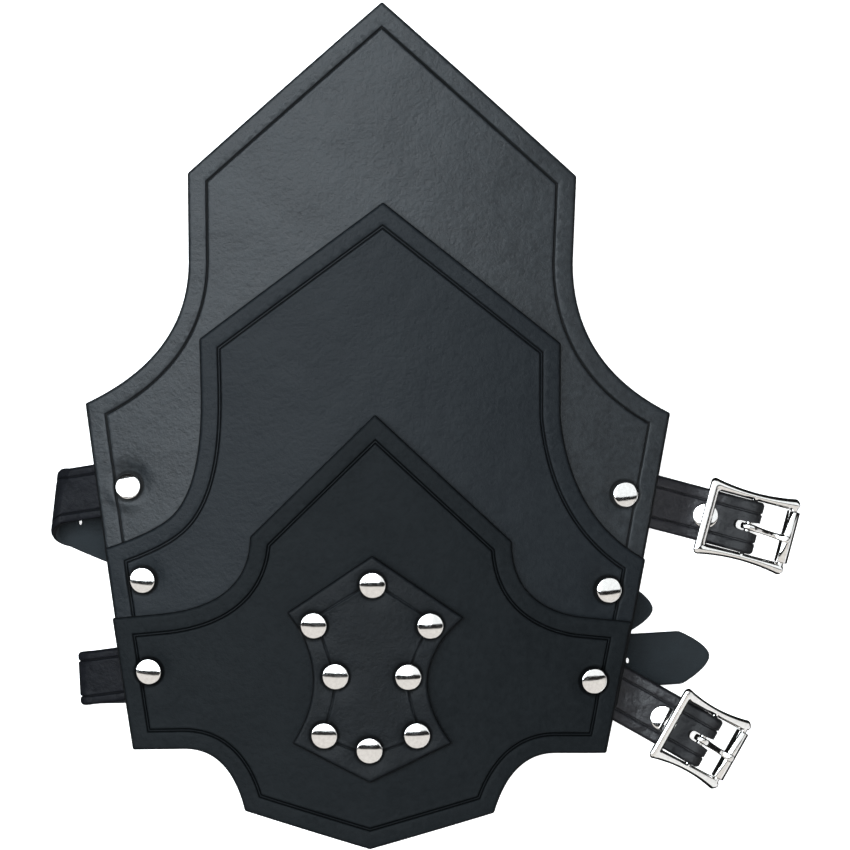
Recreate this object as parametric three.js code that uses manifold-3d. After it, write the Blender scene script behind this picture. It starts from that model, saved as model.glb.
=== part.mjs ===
// A leather vambrace that lies on a table with its outer face up. Three riveted leather plates
// form a shallow arch over the forearm. Two straps with tongue holes leave the left edge, fold
// under the arch and come out at the right. Two short chapes on the right edge hold roller buckles.
// Millimetres. X runs across the arm, Y towards the elbow point, Z up from the table at Z = 0.

import * as THREE from 'three';
import { mergeVertices } from 'three/addons/utils/BufferGeometryUtils.js';
import Module from 'manifold-3d';

const wasm = await Module();
wasm.setup();

// Leather and clearances
const PLATE_THICKNESS = 2.8;
const STRAP_THICKNESS = 2.8;
const CHAPE_THICKNESS = 2.4;
const STRAP_WIDTH = 19.05;
const GAP = 0.3;
const LAYER_PITCH = PLATE_THICKNESS + GAP;

// The arch is part of a cone. Its crown rises and its radius grows towards the elbow.
const ARCH_X = -5;
const ARCH_RADIUS = 262;
const ARCH_RADIUS_SLOPE = 0.16;
const CROWN_Z = 41.7;
const CROWN_SLOPE = 0.07;
const ARCH_HALF_ANGLE = 31;
const ARCH_STEPS = 16;
const ARCH_LOW_Y = -160;
const ARCH_HIGH_Y = 158;
const CUT_HEIGHT = 90;

// The tooled line that runs round each plate
const BORDER_WIDTH = 6.7;
const GROOVE_WIDTH = 1.3;
const GROOVE_DEPTH = 0.8;
const CURVE_STEPS = 6;

// Rivets: a domed cap on a short rim, a shank and a flat back cap
const RIVET_CAP_RADIUS = 4.7;
const RIVET_RIM = 0.4;
const RIVET_DOME = 1.5;
const RIVET_SHANK_RADIUS = 1.5;
const RIVET_BACK_RADIUS = 4;
const RIVET_BACK = 1;
const RIVET_SIDES = 12;
const HOLE_RADIUS = RIVET_SHANK_RADIUS + GAP;
const HOLE_SIDES = 10;
const HOLE_BELOW = 24;
const HOLE_ABOVE = 6;
const DOME_STEPS = 2;

// Straps: tongue holes counted back from a pointed end
const STRAP_HOLES = 8;
const STRAP_HOLE_RADIUS = 1.5;
const FIRST_HOLE = 29.8;
const HOLE_PITCH = 26;
const NOSE_LENGTH = 10.6;
const NOSE_POWER = 0.58;
const NOSE_BLUNT = 0.4;
const NOSE_PARTS = [0.72, 0.5, 0.3, 0.15, 0.05, 0];
const RIVET_END_MARGIN = 8.5;
const LEG_STEPS = 4;
const BEND_STEPS = 9;
const FLAT_STEPS = 14;

// Buckles, measured from the centre bar along the strap. The far bar carries the roller.
const FRAME_THICKNESS = 2.6;
const FRAME_BEVEL = 0.6;
const NEAR_EDGE = 18;
const NEAR_BAR = 3.5;
const FAR_BAR = 15.6;
const FRAME_HALF_END = 14.2;
const FRAME_HALF_WAIST = 12.6;
const FRAME_PAST_BAR = 2.1;
const FRAME_CORNER = 1.6;
const WINDOW_HALF = 10.3;
const CENTRE_BAR_RADIUS = 1.25;
const FAR_BAR_RADIUS = 1.2;
const BAR_SIDES = 10;
const ROLLER_RADIUS = 2.3;
const ROLLER_SIDES = 16;
const ROLLER_CLEARANCE = 0.1;
const TONGUE_LENGTH = 16.4;
const TONGUE_WIDTH = 1.8;
const TONGUE_THICKNESS = 1.2;
const TONGUE_TIP_TAPER = 0.6;
const TONGUE_SWAY = 1;

// Chapes: folded round the centre bar, closed by a rivet, with a slot for the tongue
const FOLD_RADIUS = CENTRE_BAR_RADIUS + GAP + CHAPE_THICKNESS / 2;
const CHAPE_RIVET_TO_BAR = 15.85;
const CHAPE_SAG = 2.62;
const CHAPE_TAIL = 8;
const CHAPE_FLAT = 4;
const UNDER_STEPS = 4;
const FALL_STEPS = 6;
const RISE_STEPS = 4;
const FOLD_STEPS = 8;
const SLOT_LENGTH = 5;
const SLOT_WIDTH = 4.5;

// Outlines in plan, clockwise from the top point. A row with bend is a curve that ends at its
// own x and y, pulled towards bend.
const OUTLINES = {
  main: [
    { x: 2.7, y: 148.6 },
    { x: 71.4, y: 88.3 },
    { x: 70.2, y: 57.9 },
    { x: 105.8, y: 4.3, bend: { x: 70.1, y: 21.4 } },
    { x: 96.4, y: -47.1 },
    { x: 86.6, y: -101 },
    { x: -88.7, y: -101 },
    { x: -96.8, y: -43.7 },
    { x: -103.7, y: 7.7 },
    { x: -65.9, y: 57.7, bend: { x: -66.2, y: 24.5 } },
    { x: -66.1, y: 89.1 },
  ],
  middle: [
    { x: 3.1, y: 78.2 },
    { x: 65.9, y: 28.9 },
    { x: 65.9, y: 3 },
    { x: 96.7, y: -48.2, bend: { x: 69.5, y: -33 } },
    { x: 86.5, y: -101 },
    { x: -88.5, y: -101 },
    { x: -96.6, y: -44.2 },
    { x: -71.8, y: -32, bend: { x: -77.8, y: -38.1 } },
    { x: -61.6, y: 12, bend: { x: -61, y: -21 } },
    { x: -62, y: 30.4 },
  ],
  lower: [
    { x: 0.2, y: 3.5 },
    { x: 48.6, y: -41.4 },
    { x: 72, y: -68.3, bend: { x: 48.4, y: -63.5 } },
    { x: 91.8, y: -70.5 },
    { x: 82.6, y: -117.4 },
    { x: 64, y: -116.9 },
    { x: 42.3, y: -137.9, bend: { x: 48.5, y: -116.8 } },
    { x: -1.7, y: -150.5 },
    { x: -46.1, y: -137.1 },
    { x: -68, y: -115.3, bend: { x: -51.5, y: -114.8 } },
    { x: -86.5, y: -116 },
    { x: -93.7, y: -69.1 },
    { x: -75.3, y: -67.2 },
    { x: -44, y: -39.6, bend: { x: -44.5, y: -63.5 } },
  ],
  badge: [
    { x: -0.8, y: -46.1 },
    { x: 31.5, y: -68.1 },
    { x: 27.3, y: -112.6, bend: { x: 8.4, y: -87.7 } },
    { x: -1.7, y: -126.5 },
    { x: -29, y: -112.6 },
    { x: -30.9, y: -66.3, bend: { x: -13.5, y: -88.4 } },
  ],
};

// Plates from the table up. Layer 0 lies against the arm.
const PLATES = [
  { name: 'main_plate', outline: OUTLINES.main, layer: 0, colour: 0x34373b },
  { name: 'middle_plate', outline: OUTLINES.middle, layer: 1, colour: 0x2b2f32 },
  { name: 'lower_plate', outline: OUTLINES.lower, layer: 2, colour: 0x25282b },
  { name: 'badge_plate', outline: OUTLINES.badge, layer: 3, colour: 0x26292c },
];

// Rivets through the plates. The cap sits on the top layer, the shank ends below the bottom layer
// or below the leather riveted under it, which is `under` thick.
const PLATE_RIVETS = [
  { name: 'badge_rivet_top', x: -0.7, y: -56.5, top: 3, bottom: 0, under: 0 },
  { name: 'badge_rivet_left_shoulder', x: -21.5, y: -70.8, top: 3, bottom: 0, under: 0 },
  { name: 'badge_rivet_right_shoulder', x: 19.7, y: -70.9, top: 3, bottom: 0, under: 0 },
  { name: 'badge_rivet_left_waist', x: -13.8, y: -88.8, top: 3, bottom: 0, under: 0 },
  { name: 'badge_rivet_right_waist', x: 11.9, y: -89, top: 3, bottom: 0, under: 0 },
  { name: 'badge_rivet_left_foot', x: -17.8, y: -109.8, top: 3, bottom: 2, under: 0 },
  { name: 'badge_rivet_right_foot', x: 15, y: -109.8, top: 3, bottom: 2, under: 0 },
  { name: 'badge_rivet_bottom', x: -1.8, y: -115.1, top: 3, bottom: 2, under: 0 },
  { name: 'side_rivet_main_left', x: -88.3, y: -21.9, top: 0, bottom: 0, under: STRAP_THICKNESS },
  { name: 'side_rivet_main_right', x: 89.7, y: -24.8, top: 0, bottom: 0, under: CHAPE_THICKNESS },
  { name: 'side_rivet_middle_left', x: -83, y: -55.4, top: 1, bottom: 0, under: 0 },
  { name: 'side_rivet_middle_right', x: 83.7, y: -59, top: 1, bottom: 0, under: 0 },
  { name: 'side_rivet_lower_left', x: -80.7, y: -87.9, top: 2, bottom: 0, under: STRAP_THICKNESS },
  { name: 'side_rivet_lower_right', x: 78.3, y: -91.4, top: 2, bottom: 0, under: CHAPE_THICKNESS },
];

// Straps. Headings are degrees from +X. `reach` runs from the rivet to where the bend starts and
// `drop` is how far the strap slides along the fold line while it goes round the bend.
const STRAPS = [
  {
    name: 'strap_upper', rivet: 'side_rivet_main_left', out: 189, fold: 83.5, back: -22,
    reach: 22.4, drop: 9.6, tip: { x: 100.5, y: -66.8, heading: -1.5 }, handle: 75,
  },
  {
    name: 'strap_lower', rivet: 'side_rivet_lower_left', out: 188.7, fold: 93, back: 1.2,
    reach: 21.8, drop: 0.3, tip: { x: 121.1, y: -83.6, heading: 4.5 }, handle: 60,
  },
];

// Chapes with their buckles. `reach` runs from the plate rivet to the centre bar, `edge` to where
// the chape leaves the plate, and `tilt` is how far the buckle leans down to the table.
const CHAPES = [
  { side: 'upper', rivet: 'side_rivet_main_right', heading: -14.9, reach: 46.6, edge: 12, tilt: 15.5 },
  { side: 'lower', rivet: 'side_rivet_lower_right', heading: -29.4, reach: 45, edge: 11, tilt: 36 },
];

const STRAP_COLOUR = 0x1d1f22;
const NICKEL_COLOUR = 0xc9cbcd;
const LEATHER_ROUGHNESS = 0.5;
const NICKEL_ROUGHNESS = 0.15;

const vambrace = new THREE.Group();
vambrace.name = 'vambrace';

const radians = THREE.MathUtils.degToRad;
const UP = new THREE.Vector3(0, 0, 1);

function heading(degrees) {
  return new THREE.Vector3(Math.cos(radians(degrees)), Math.sin(radians(degrees)), 0);
}

function solidOf(geometry) {
  const bare = geometry.clone();
  bare.deleteAttribute('normal');
  bare.deleteAttribute('uv');
  const merged = mergeVertices(bare, 1e-4);
  return new wasm.Manifold(new wasm.Mesh({
    numProp: 3,
    vertProperties: Float32Array.from(merged.attributes.position.array),
    triVerts: Uint32Array.from(merged.index.array),
  }));
}

function addMesh(name, solid, colour, metal) {
  const { vertProperties, triVerts } = solid.getMesh();
  const geometry = new THREE.BufferGeometry();
  geometry.setAttribute('position', new THREE.BufferAttribute(vertProperties, 3));
  geometry.setIndex(new THREE.BufferAttribute(triVerts, 1));
  geometry.computeVertexNormals();
  const material = new THREE.MeshStandardMaterial({
    color: colour,
    roughness: metal ? NICKEL_ROUGHNESS : LEATHER_ROUGHNESS,
    metalness: metal ? 1 : 0,
  });
  const mesh = new THREE.Mesh(geometry, material);
  mesh.name = name;
  vambrace.add(mesh);
}

// A closed solid through a row of sections. Each section lists its upper edge and then its lower
// edge backwards, so opposite points pair up across the end caps.
function loft(sections) {
  const count = sections[0].length;
  const positions = sections.flat().flatMap((point) => [point.x, point.y, point.z]);
  const index = [];
  const quad = (a, b, c, d) => index.push(a, b, c, a, c, d);
  for (let row = 0; row < sections.length - 1; row++) {
    for (let i = 0; i < count; i++) {
      const next = (i + 1) % count;
      const here = row * count;
      quad(here + i, here + next, here + count + next, here + count + i);
    }
  }
  const last = (sections.length - 1) * count;
  for (let i = 0; i < count / 2 - 1; i++) {
    const mate = count - 1 - i;
    quad(mate, mate - 1, i + 1, i);
    quad(last + i, last + i + 1, last + mate - 1, last + mate);
  }
  const geometry = new THREE.BufferGeometry();
  geometry.setAttribute('position', new THREE.Float32BufferAttribute(positions, 3));
  geometry.setIndex(index);
  if (signedVolume(positions, index) < 0) geometry.setIndex(index.reverse());
  return solidOf(geometry);
}

function signedVolume(positions, index) {
  const corner = (i) => new THREE.Vector3().fromArray(positions, 3 * index[i]);
  let volume = 0;
  for (let i = 0; i < index.length; i += 3) {
    volume += corner(i).dot(corner(i + 1).cross(corner(i + 2)));
  }
  return volume;
}

// The arch
const crownAt = (y) => CROWN_Z + CROWN_SLOPE * y;
const radiusAt = (y) => ARCH_RADIUS + ARCH_RADIUS_SLOPE * y;

function archPoint(angle, y, offset) {
  const arm = radiusAt(y) + offset;
  return new THREE.Vector3(
    ARCH_X + arm * Math.sin(angle), y, crownAt(y) - radiusAt(y) + arm * Math.cos(angle));
}

// The point and slopes of the surface `offset` above the main plate's outer face
function onArch(x, y, offset) {
  const angle = Math.asin((x - ARCH_X) / (radiusAt(y) + offset));
  const slopeX = -Math.tan(angle);
  const slopeY = CROWN_SLOPE - ARCH_RADIUS_SLOPE + ARCH_RADIUS_SLOPE / Math.cos(angle);
  return {
    at: archPoint(angle, y, offset),
    slope: (direction) => slopeX * direction.x + slopeY * direction.y,
    normal: new THREE.Vector3(-slopeX, -slopeY, 1).normalize(),
  };
}

function archShell(outer, inner) {
  const half = radians(ARCH_HALF_ANGLE);
  const angles = Array.from({ length: ARCH_STEPS + 1 }, (_, i) => half * (2 * i / ARCH_STEPS - 1));
  const section = (y) => [
    ...angles.map((angle) => archPoint(angle, y, outer)),
    ...angles.toReversed().map((angle) => archPoint(angle, y, inner)),
  ];
  return loft([section(ARCH_LOW_Y), section(ARCH_HIGH_Y)]);
}

// Plates
function outlinePoints(rows) {
  const path = new THREE.Path();
  path.moveTo(rows[0].x, rows[0].y);
  for (const { x, y, bend } of rows.slice(1)) {
    if (bend) path.quadraticCurveTo(bend.x, bend.y, x, y);
    else path.lineTo(x, y);
  }
  return path.getPoints(CURVE_STEPS);
}

// Moves each edge of a clockwise outline inwards and joins the moved edges where they cross
function inset(points, distance) {
  const moved = points.map((point, i) => {
    const next = points[(i + 1) % points.length];
    const along = next.clone().sub(point).normalize();
    const inward = new THREE.Vector2(along.y, -along.x);
    return { start: point.clone().addScaledVector(inward, distance), along };
  });
  return moved.map((edge, i) => {
    const before = moved.at(i - 1);
    const between = edge.start.clone().sub(before.start);
    const reach = between.cross(edge.along) / before.along.cross(edge.along);
    return before.start.clone().addScaledVector(before.along, reach);
  });
}

function prism(points) {
  return solidOf(new THREE.ExtrudeGeometry(
    new THREE.Shape(points), { depth: CUT_HEIGHT, bevelEnabled: false }));
}

function plateSolid({ outline, layer }) {
  const edge = outlinePoints(outline);
  const top = layer * LAYER_PITCH;
  const sheet = archShell(top, top - PLATE_THICKNESS).intersect(prism(edge));
  const line = prism(inset(edge, BORDER_WIDTH - GROOVE_WIDTH / 2))
    .subtract(prism(inset(edge, BORDER_WIDTH + GROOVE_WIDTH / 2)));
  return sheet.subtract(line.intersect(archShell(top + GROOVE_DEPTH, top - GROOVE_DEPTH)));
}

// A round bar from `low` to `high` along Z, then turned and moved by the matrix
function bar(radius, low, high, sides, matrix) {
  const geometry = new THREE.CylinderGeometry(radius, radius, high - low, sides);
  geometry.rotateX(Math.PI / 2).translate(0, 0, (low + high) / 2);
  return solidOf(geometry.applyMatrix4(matrix));
}

function standing(at, normal) {
  const turn = new THREE.Quaternion().setFromUnitVectors(UP, normal);
  return new THREE.Matrix4().compose(at, turn, new THREE.Vector3(1, 1, 1));
}

function plateRivetPlace({ x, y, top }) {
  const { at, normal } = onArch(x, y, top * LAYER_PITCH);
  return standing(at, normal);
}

function rivetHole(rivet) {
  return bar(HOLE_RADIUS, -HOLE_BELOW, HOLE_ABOVE, HOLE_SIDES, plateRivetPlace(rivet));
}

// Rivet with its cap over Z = 0 and its back cap below Z = -grip
function rivetSolid(grip, matrix) {
  const sphere = (RIVET_CAP_RADIUS ** 2 + RIVET_DOME ** 2) / (2 * RIVET_DOME);
  const seat = GAP;
  const crown = seat + RIVET_RIM + RIVET_DOME;
  const edgeAngle = Math.asin(RIVET_CAP_RADIUS / sphere);
  const profile = [
    [0, -grip - seat - RIVET_BACK],
    [RIVET_BACK_RADIUS, -grip - seat - RIVET_BACK],
    [RIVET_BACK_RADIUS, -grip - seat],
    [RIVET_SHANK_RADIUS, -grip - seat],
    [RIVET_SHANK_RADIUS, seat],
    [RIVET_CAP_RADIUS, seat],
  ];
  for (let i = 0; i < DOME_STEPS; i++) {
    const angle = edgeAngle * (1 - i / DOME_STEPS);
    profile.push([sphere * Math.sin(angle), crown - sphere * (1 - Math.cos(angle))]);
  }
  profile.push([0, crown]);
  const lathe = new THREE.LatheGeometry(
    profile.map(([radius, height]) => new THREE.Vector2(radius, height)), RIVET_SIDES);
  return solidOf(lathe.rotateX(Math.PI / 2).applyMatrix4(matrix));
}

// A flat leather band through a row of stations, each with its centre, a vector across the band
// and half its width. The vector across may be skewed: the cut there is then longer.
function ribbon(stations, thickness) {
  const last = stations.length - 1;
  return loft(stations.map(({ at, across, half }, i) => {
    const along = stations[Math.min(i + 1, last)].at.clone()
      .sub(stations[Math.max(i - 1, 0)].at).normalize();
    const side = across.clone().normalize();
    const face = along.clone().cross(side);
    const cut = half / face.length();
    face.normalize();
    const corner = (right, over) => at.clone()
      .addScaledVector(side, right * cut)
      .addScaledVector(face, over * thickness / 2);
    return [corner(-1, 1), corner(1, 1), corner(1, -1), corner(-1, -1)];
  }));
}

// The stretch of a band that lies against the underside of the main plate
function underPlate(start, direction, distances, thickness, side) {
  return distances.map((distance) => {
    const plan = start.clone().addScaledVector(direction, distance);
    const { at, slope } = onArch(plan.x, plan.y, -PLATE_THICKNESS - GAP - thickness / 2);
    return {
      at,
      across: side.clone().addScaledVector(UP, slope(side)),
      half: STRAP_WIDTH / 2,
      fall: slope(direction),
    };
  });
}

function rivetNamed(name) {
  return PLATE_RIVETS.find((rivet) => rivet.name === name);
}

// Cubic with given values and slopes at both ends of 0..1
function hermite(t, from, fromSlope, to, toSlope) {
  return (2 * t ** 3 - 3 * t ** 2 + 1) * from + (t ** 3 - 2 * t ** 2 + t) * fromSlope
    + (3 * t ** 2 - 2 * t ** 3) * to + (t ** 3 - t ** 2) * toSlope;
}

function steps(count) {
  return Array.from({ length: count }, (_, i) => (i + 1) / count);
}

// The bend of a strap round its fold line, from the end of its upper leg down to the table
function bendStations(strap, leg) {
  const foldLine = heading(strap.fold);
  const outward = heading(strap.fold + 90);
  const dip = Math.atan(-onArch(leg.at.x, leg.at.y, 0).slope(outward));
  const radius = (leg.at.z - STRAP_THICKNESS / 2) / (1 + Math.cos(dip));
  const centre = leg.at.dot(outward) - radius * Math.sin(dip);
  const turn = Math.PI - dip;
  const slide = leg.at.dot(foldLine);
  const slideOut = -radius * turn * Math.tan(radians(strap.out - strap.fold - 90));
  const slideBack = radius * turn * Math.tan(radians(strap.back - strap.fold + 90));
  return steps(BEND_STEPS).map((t) => {
    const angle = dip + turn * t;
    const along = hermite(t, slide, slideOut, slide - strap.drop, slideBack);
    const at = foldLine.clone().multiplyScalar(along)
      .addScaledVector(outward, centre + radius * Math.sin(angle))
      .addScaledVector(UP, radius + STRAP_THICKNESS / 2 + radius * Math.cos(angle));
    return { at, across: foldLine, half: STRAP_WIDTH / 2 };
  });
}

// The stretch on the table, from the bend to the pointed end
function backCurve(strap, start) {
  const end = new THREE.Vector3(strap.tip.x, strap.tip.y, STRAP_THICKNESS / 2);
  return new THREE.CubicBezierCurve3(
    start,
    start.clone().addScaledVector(heading(strap.back), strap.handle),
    end.clone().addScaledVector(heading(strap.tip.heading), -strap.handle),
    end);
}

function noseHalf(distance) {
  return STRAP_WIDTH / 2 * Math.min(1, (distance / NOSE_LENGTH) ** NOSE_POWER);
}

function strapSolid(strap) {
  const rivet = rivetNamed(strap.rivet);
  const legSteps = steps(LEG_STEPS).map((t) => t * strap.reach);
  const leg = underPlate(new THREE.Vector3(rivet.x, rivet.y, 0), heading(strap.out),
    [-RIVET_END_MARGIN, 0, ...legSteps], STRAP_THICKNESS, heading(strap.fold));
  const bend = bendStations(strap, leg.at(-1));
  const curve = backCurve(strap, bend.at(-1).at);
  const length = curve.getLength();
  const station = (distance) => ({
    at: curve.getPointAt(1 - distance / length),
    across: heading(strap.fold),
    half: noseHalf(Math.max(distance, NOSE_BLUNT)),
  });
  const flat = steps(FLAT_STEPS).map((t) => station(NOSE_LENGTH + (length - NOSE_LENGTH) * (1 - t)));
  const nose = NOSE_PARTS.map((part) => station(part * NOSE_LENGTH));
  let solid = ribbon([...leg, ...bend, ...flat, ...nose], STRAP_THICKNESS);
  for (let i = 0; i < STRAP_HOLES; i++) {
    const { at } = station(FIRST_HOLE + i * HOLE_PITCH);
    const place = new THREE.Matrix4().setPosition(at);
    solid = solid.subtract(
      bar(STRAP_HOLE_RADIUS, -STRAP_THICKNESS, STRAP_THICKNESS, HOLE_SIDES, place));
  }
  return solid.subtract(rivetHole(rivet));
}

// Heights and plan places that a chape, its rivet and its buckle share
function chapeFrame(chape) {
  const rivet = rivetNamed(chape.rivet);
  const along = heading(chape.heading);
  const start = new THREE.Vector3(rivet.x, rivet.y, 0);
  const tilt = radians(chape.tilt);
  const barZ = ROLLER_CLEARANCE + ROLLER_RADIUS + FAR_BAR * Math.sin(tilt);
  const plan = (distance, z) => start.clone().addScaledVector(along, distance).setZ(z);
  return {
    rivet, along, start, tilt, plan, barZ,
    across: heading(chape.heading + 90),
    barAt: plan(chape.reach, barZ),
    rivetAt: chape.reach - CHAPE_RIVET_TO_BAR,
    midZ: barZ - CHAPE_SAG,
  };
}

function chapeSolid(chape) {
  const frame = chapeFrame(chape);
  const { plan, barZ, midZ, rivetAt, across } = frame;
  const half = STRAP_WIDTH / 2;
  const layer = (GAP + CHAPE_THICKNESS) / 2;
  const reach = chape.reach;
  const underSteps = [0, ...steps(UNDER_STEPS)]
    .map((t) => -RIVET_END_MARGIN + t * (chape.edge + RIVET_END_MARGIN));
  const under = underPlate(frame.start, frame.along, underSteps, CHAPE_THICKNESS, across);
  const edge = under.at(-1);
  const fallSpan = rivetAt - CHAPE_FLAT - chape.edge;
  const down = steps(FALL_STEPS).map((t) => ({
    at: plan(chape.edge + fallSpan * t,
      hermite(t, edge.at.z, edge.fall * fallSpan, midZ + layer, 0)),
    across: edge.across.clone().lerp(across, t),
    half,
  }));
  const riseSpan = CHAPE_RIVET_TO_BAR - CHAPE_FLAT;
  const level = (t, side) => hermite(t, midZ + side * layer, 0, barZ + side * FOLD_RADIUS, 0);
  const upper = [0, ...steps(RISE_STEPS)].map((t) => ({
    at: plan(rivetAt + CHAPE_FLAT + riseSpan * t, level(t, 1)), across, half,
  }));
  const fold = steps(FOLD_STEPS).slice(0, -1).map((t) => ({
    at: plan(reach + FOLD_RADIUS * Math.sin(Math.PI * t), barZ + FOLD_RADIUS * Math.cos(Math.PI * t)),
    across,
    half,
  }));
  const lower = upper.toReversed().map((_, i) => {
    const t = 1 - i / (upper.length - 1);
    return { at: plan(rivetAt + CHAPE_FLAT + riseSpan * t, level(t, -1)), across, half };
  });
  const tail = [{ at: plan(rivetAt - CHAPE_TAIL, midZ - layer), across, half }];
  const band = ribbon([...under, ...down, ...upper, ...fold, ...lower, ...tail], CHAPE_THICKNESS);
  return band
    .subtract(rivetHole(frame.rivet))
    .subtract(bar(HOLE_RADIUS, 0, CROWN_Z, HOLE_SIDES,
      new THREE.Matrix4().setPosition(plan(rivetAt, 0))))
    .subtract(slotSolid(frame, chape));
}

// The slot that the tongue passes through, with a round end towards the rivet
function slotSolid(frame, chape) {
  const half = SLOT_WIDTH / 2;
  const past = FOLD_RADIUS + CHAPE_THICKNESS;
  const shape = new THREE.Shape();
  shape.moveTo(past, -half);
  shape.lineTo(past, half);
  shape.absarc(half - SLOT_LENGTH, 0, half, Math.PI / 2, 3 * Math.PI / 2, false);
  const geometry = new THREE.ExtrudeGeometry(
    shape, { depth: CROWN_Z, bevelEnabled: false, curveSegments: 6 });
  geometry.rotateZ(radians(chape.heading));
  const foot = frame.plan(chape.reach, 0);
  return solidOf(geometry.translate(foot.x, foot.y, 0));
}

function chapeRivet(chape) {
  const frame = chapeFrame(chape);
  const stack = 2 * CHAPE_THICKNESS + GAP;
  return rivetSolid(stack, standing(frame.plan(frame.rivetAt, frame.midZ + stack / 2), UP));
}

// Local axes of a buckle: X along the strap and down to the table, Y across, Z out of its face
function buckleMatrix(chape) {
  const { along, across, tilt, barAt } = chapeFrame(chape);
  const far = along.clone().multiplyScalar(Math.cos(tilt)).addScaledVector(UP, -Math.sin(tilt));
  return new THREE.Matrix4()
    .makeBasis(far, across, far.clone().cross(across))
    .setPosition(barAt);
}

function frameSolid(matrix) {
  const shape = new THREE.Shape();
  const end = FAR_BAR + FRAME_PAST_BAR;
  const corner = FRAME_CORNER;
  const windowNear = NEAR_BAR - NEAR_EDGE;
  shape.moveTo(-NEAR_EDGE, 0);
  shape.lineTo(-NEAR_EDGE, FRAME_HALF_END - corner);
  shape.quadraticCurveTo(-NEAR_EDGE, FRAME_HALF_END, -NEAR_EDGE + corner, FRAME_HALF_END);
  shape.quadraticCurveTo(0, 2 * FRAME_HALF_WAIST - FRAME_HALF_END, end - corner, FRAME_HALF_END);
  shape.quadraticCurveTo(end, FRAME_HALF_END, end, FRAME_HALF_END - corner);
  shape.lineTo(end, WINDOW_HALF);
  shape.lineTo(windowNear, WINDOW_HALF);
  shape.lineTo(windowNear, 0);
  const halfFrame = new THREE.ExtrudeGeometry(shape, {
    depth: FRAME_THICKNESS - 2 * FRAME_BEVEL,
    bevelThickness: FRAME_BEVEL,
    bevelSize: FRAME_BEVEL,
    bevelOffset: -FRAME_BEVEL,
    bevelSegments: 1,
    curveSegments: 4,
  });
  halfFrame.translate(0, 0, FRAME_BEVEL - FRAME_THICKNESS / 2);
  const side = solidOf(halfFrame);
  const lengthwise = new THREE.Matrix4().makeRotationX(Math.PI / 2);
  const reach = (WINDOW_HALF + FRAME_HALF_WAIST) / 2;
  const cross = (x, radius) => bar(radius, -reach, reach, BAR_SIDES,
    lengthwise.clone().premultiply(new THREE.Matrix4().setPosition(x, 0, 0)));
  return side.add(side.mirror([0, 1, 0]))
    .add(nearBarCore())
    .add(cross(0, CENTRE_BAR_RADIUS))
    .add(cross(FAR_BAR, FAR_BAR_RADIUS))
    .transform(matrix.elements);
}

// The middle of the near bar, where the bevels of the two halves meet
function nearBarCore() {
  const core = new THREE.BoxGeometry(NEAR_BAR - 2 * FRAME_BEVEL, NEAR_BAR, FRAME_THICKNESS);
  return solidOf(core.translate(NEAR_BAR / 2 - NEAR_EDGE, 0, 0));
}

function rollerSolid(matrix) {
  const half = WINDOW_HALF - GAP;
  const profile = [
    [FAR_BAR_RADIUS + GAP, -half],
    [ROLLER_RADIUS, -half],
    [ROLLER_RADIUS, half],
    [FAR_BAR_RADIUS + GAP, half],
    [FAR_BAR_RADIUS + GAP, -half],
  ];
  const sleeve = new THREE.LatheGeometry(
    profile.map(([radius, along]) => new THREE.Vector2(radius, along)), ROLLER_SIDES);
  return solidOf(sleeve.translate(FAR_BAR, 0, 0).applyMatrix4(matrix));
}

// The tongue: an eye round the centre bar and an arm that lies on the roller. The arm drifts
// a little sideways towards its tip.
function tongueSolid(matrix) {
  const eyeInner = CENTRE_BAR_RADIUS + GAP;
  const eyeOuter = eyeInner + TONGUE_THICKNESS;
  const tipLow = ROLLER_RADIUS + GAP;
  const arm = new THREE.Shape([
    new THREE.Vector2(0, eyeInner + GAP / 3),
    new THREE.Vector2(FAR_BAR - ROLLER_RADIUS, tipLow),
    new THREE.Vector2(TONGUE_LENGTH, tipLow),
    new THREE.Vector2(TONGUE_LENGTH, tipLow + TONGUE_THICKNESS * TONGUE_TIP_TAPER),
    new THREE.Vector2(FAR_BAR - ROLLER_RADIUS, tipLow + TONGUE_THICKNESS),
    new THREE.Vector2(0, eyeOuter),
  ]);
  const eye = new THREE.Shape().absarc(0, 0, eyeOuter, 0, 2 * Math.PI, false);
  eye.holes.push(new THREE.Path().absarc(0, 0, eyeInner, 0, 2 * Math.PI, true));
  const across = (shape) => solidOf(
    new THREE.ExtrudeGeometry(shape, { depth: TONGUE_WIDTH, bevelEnabled: false, curveSegments: 7 })
      .rotateX(Math.PI / 2)
      .translate(0, TONGUE_WIDTH / 2, 0));
  return across(eye).add(across(arm))
    .warp((point) => {
      point[1] -= TONGUE_SWAY * Math.max(0, point[0]) / TONGUE_LENGTH;
    })
    .transform(matrix.elements);
}

for (const plate of PLATES) {
  const holes = PLATE_RIVETS
    .filter(({ top, bottom }) => bottom <= plate.layer && plate.layer <= top)
    .map(rivetHole);
  const solid = holes.reduce((sheet, hole) => sheet.subtract(hole), plateSolid(plate));
  addMesh(plate.name, solid, plate.colour, false);
}

for (const rivet of PLATE_RIVETS) {
  const plates = (rivet.top - rivet.bottom) * LAYER_PITCH + PLATE_THICKNESS;
  const under = rivet.under > 0 ? GAP + rivet.under : 0;
  addMesh(rivet.name, rivetSolid(plates + under, plateRivetPlace(rivet)), NICKEL_COLOUR, true);
}

for (const strap of STRAPS) addMesh(strap.name, strapSolid(strap), STRAP_COLOUR, false);

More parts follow.
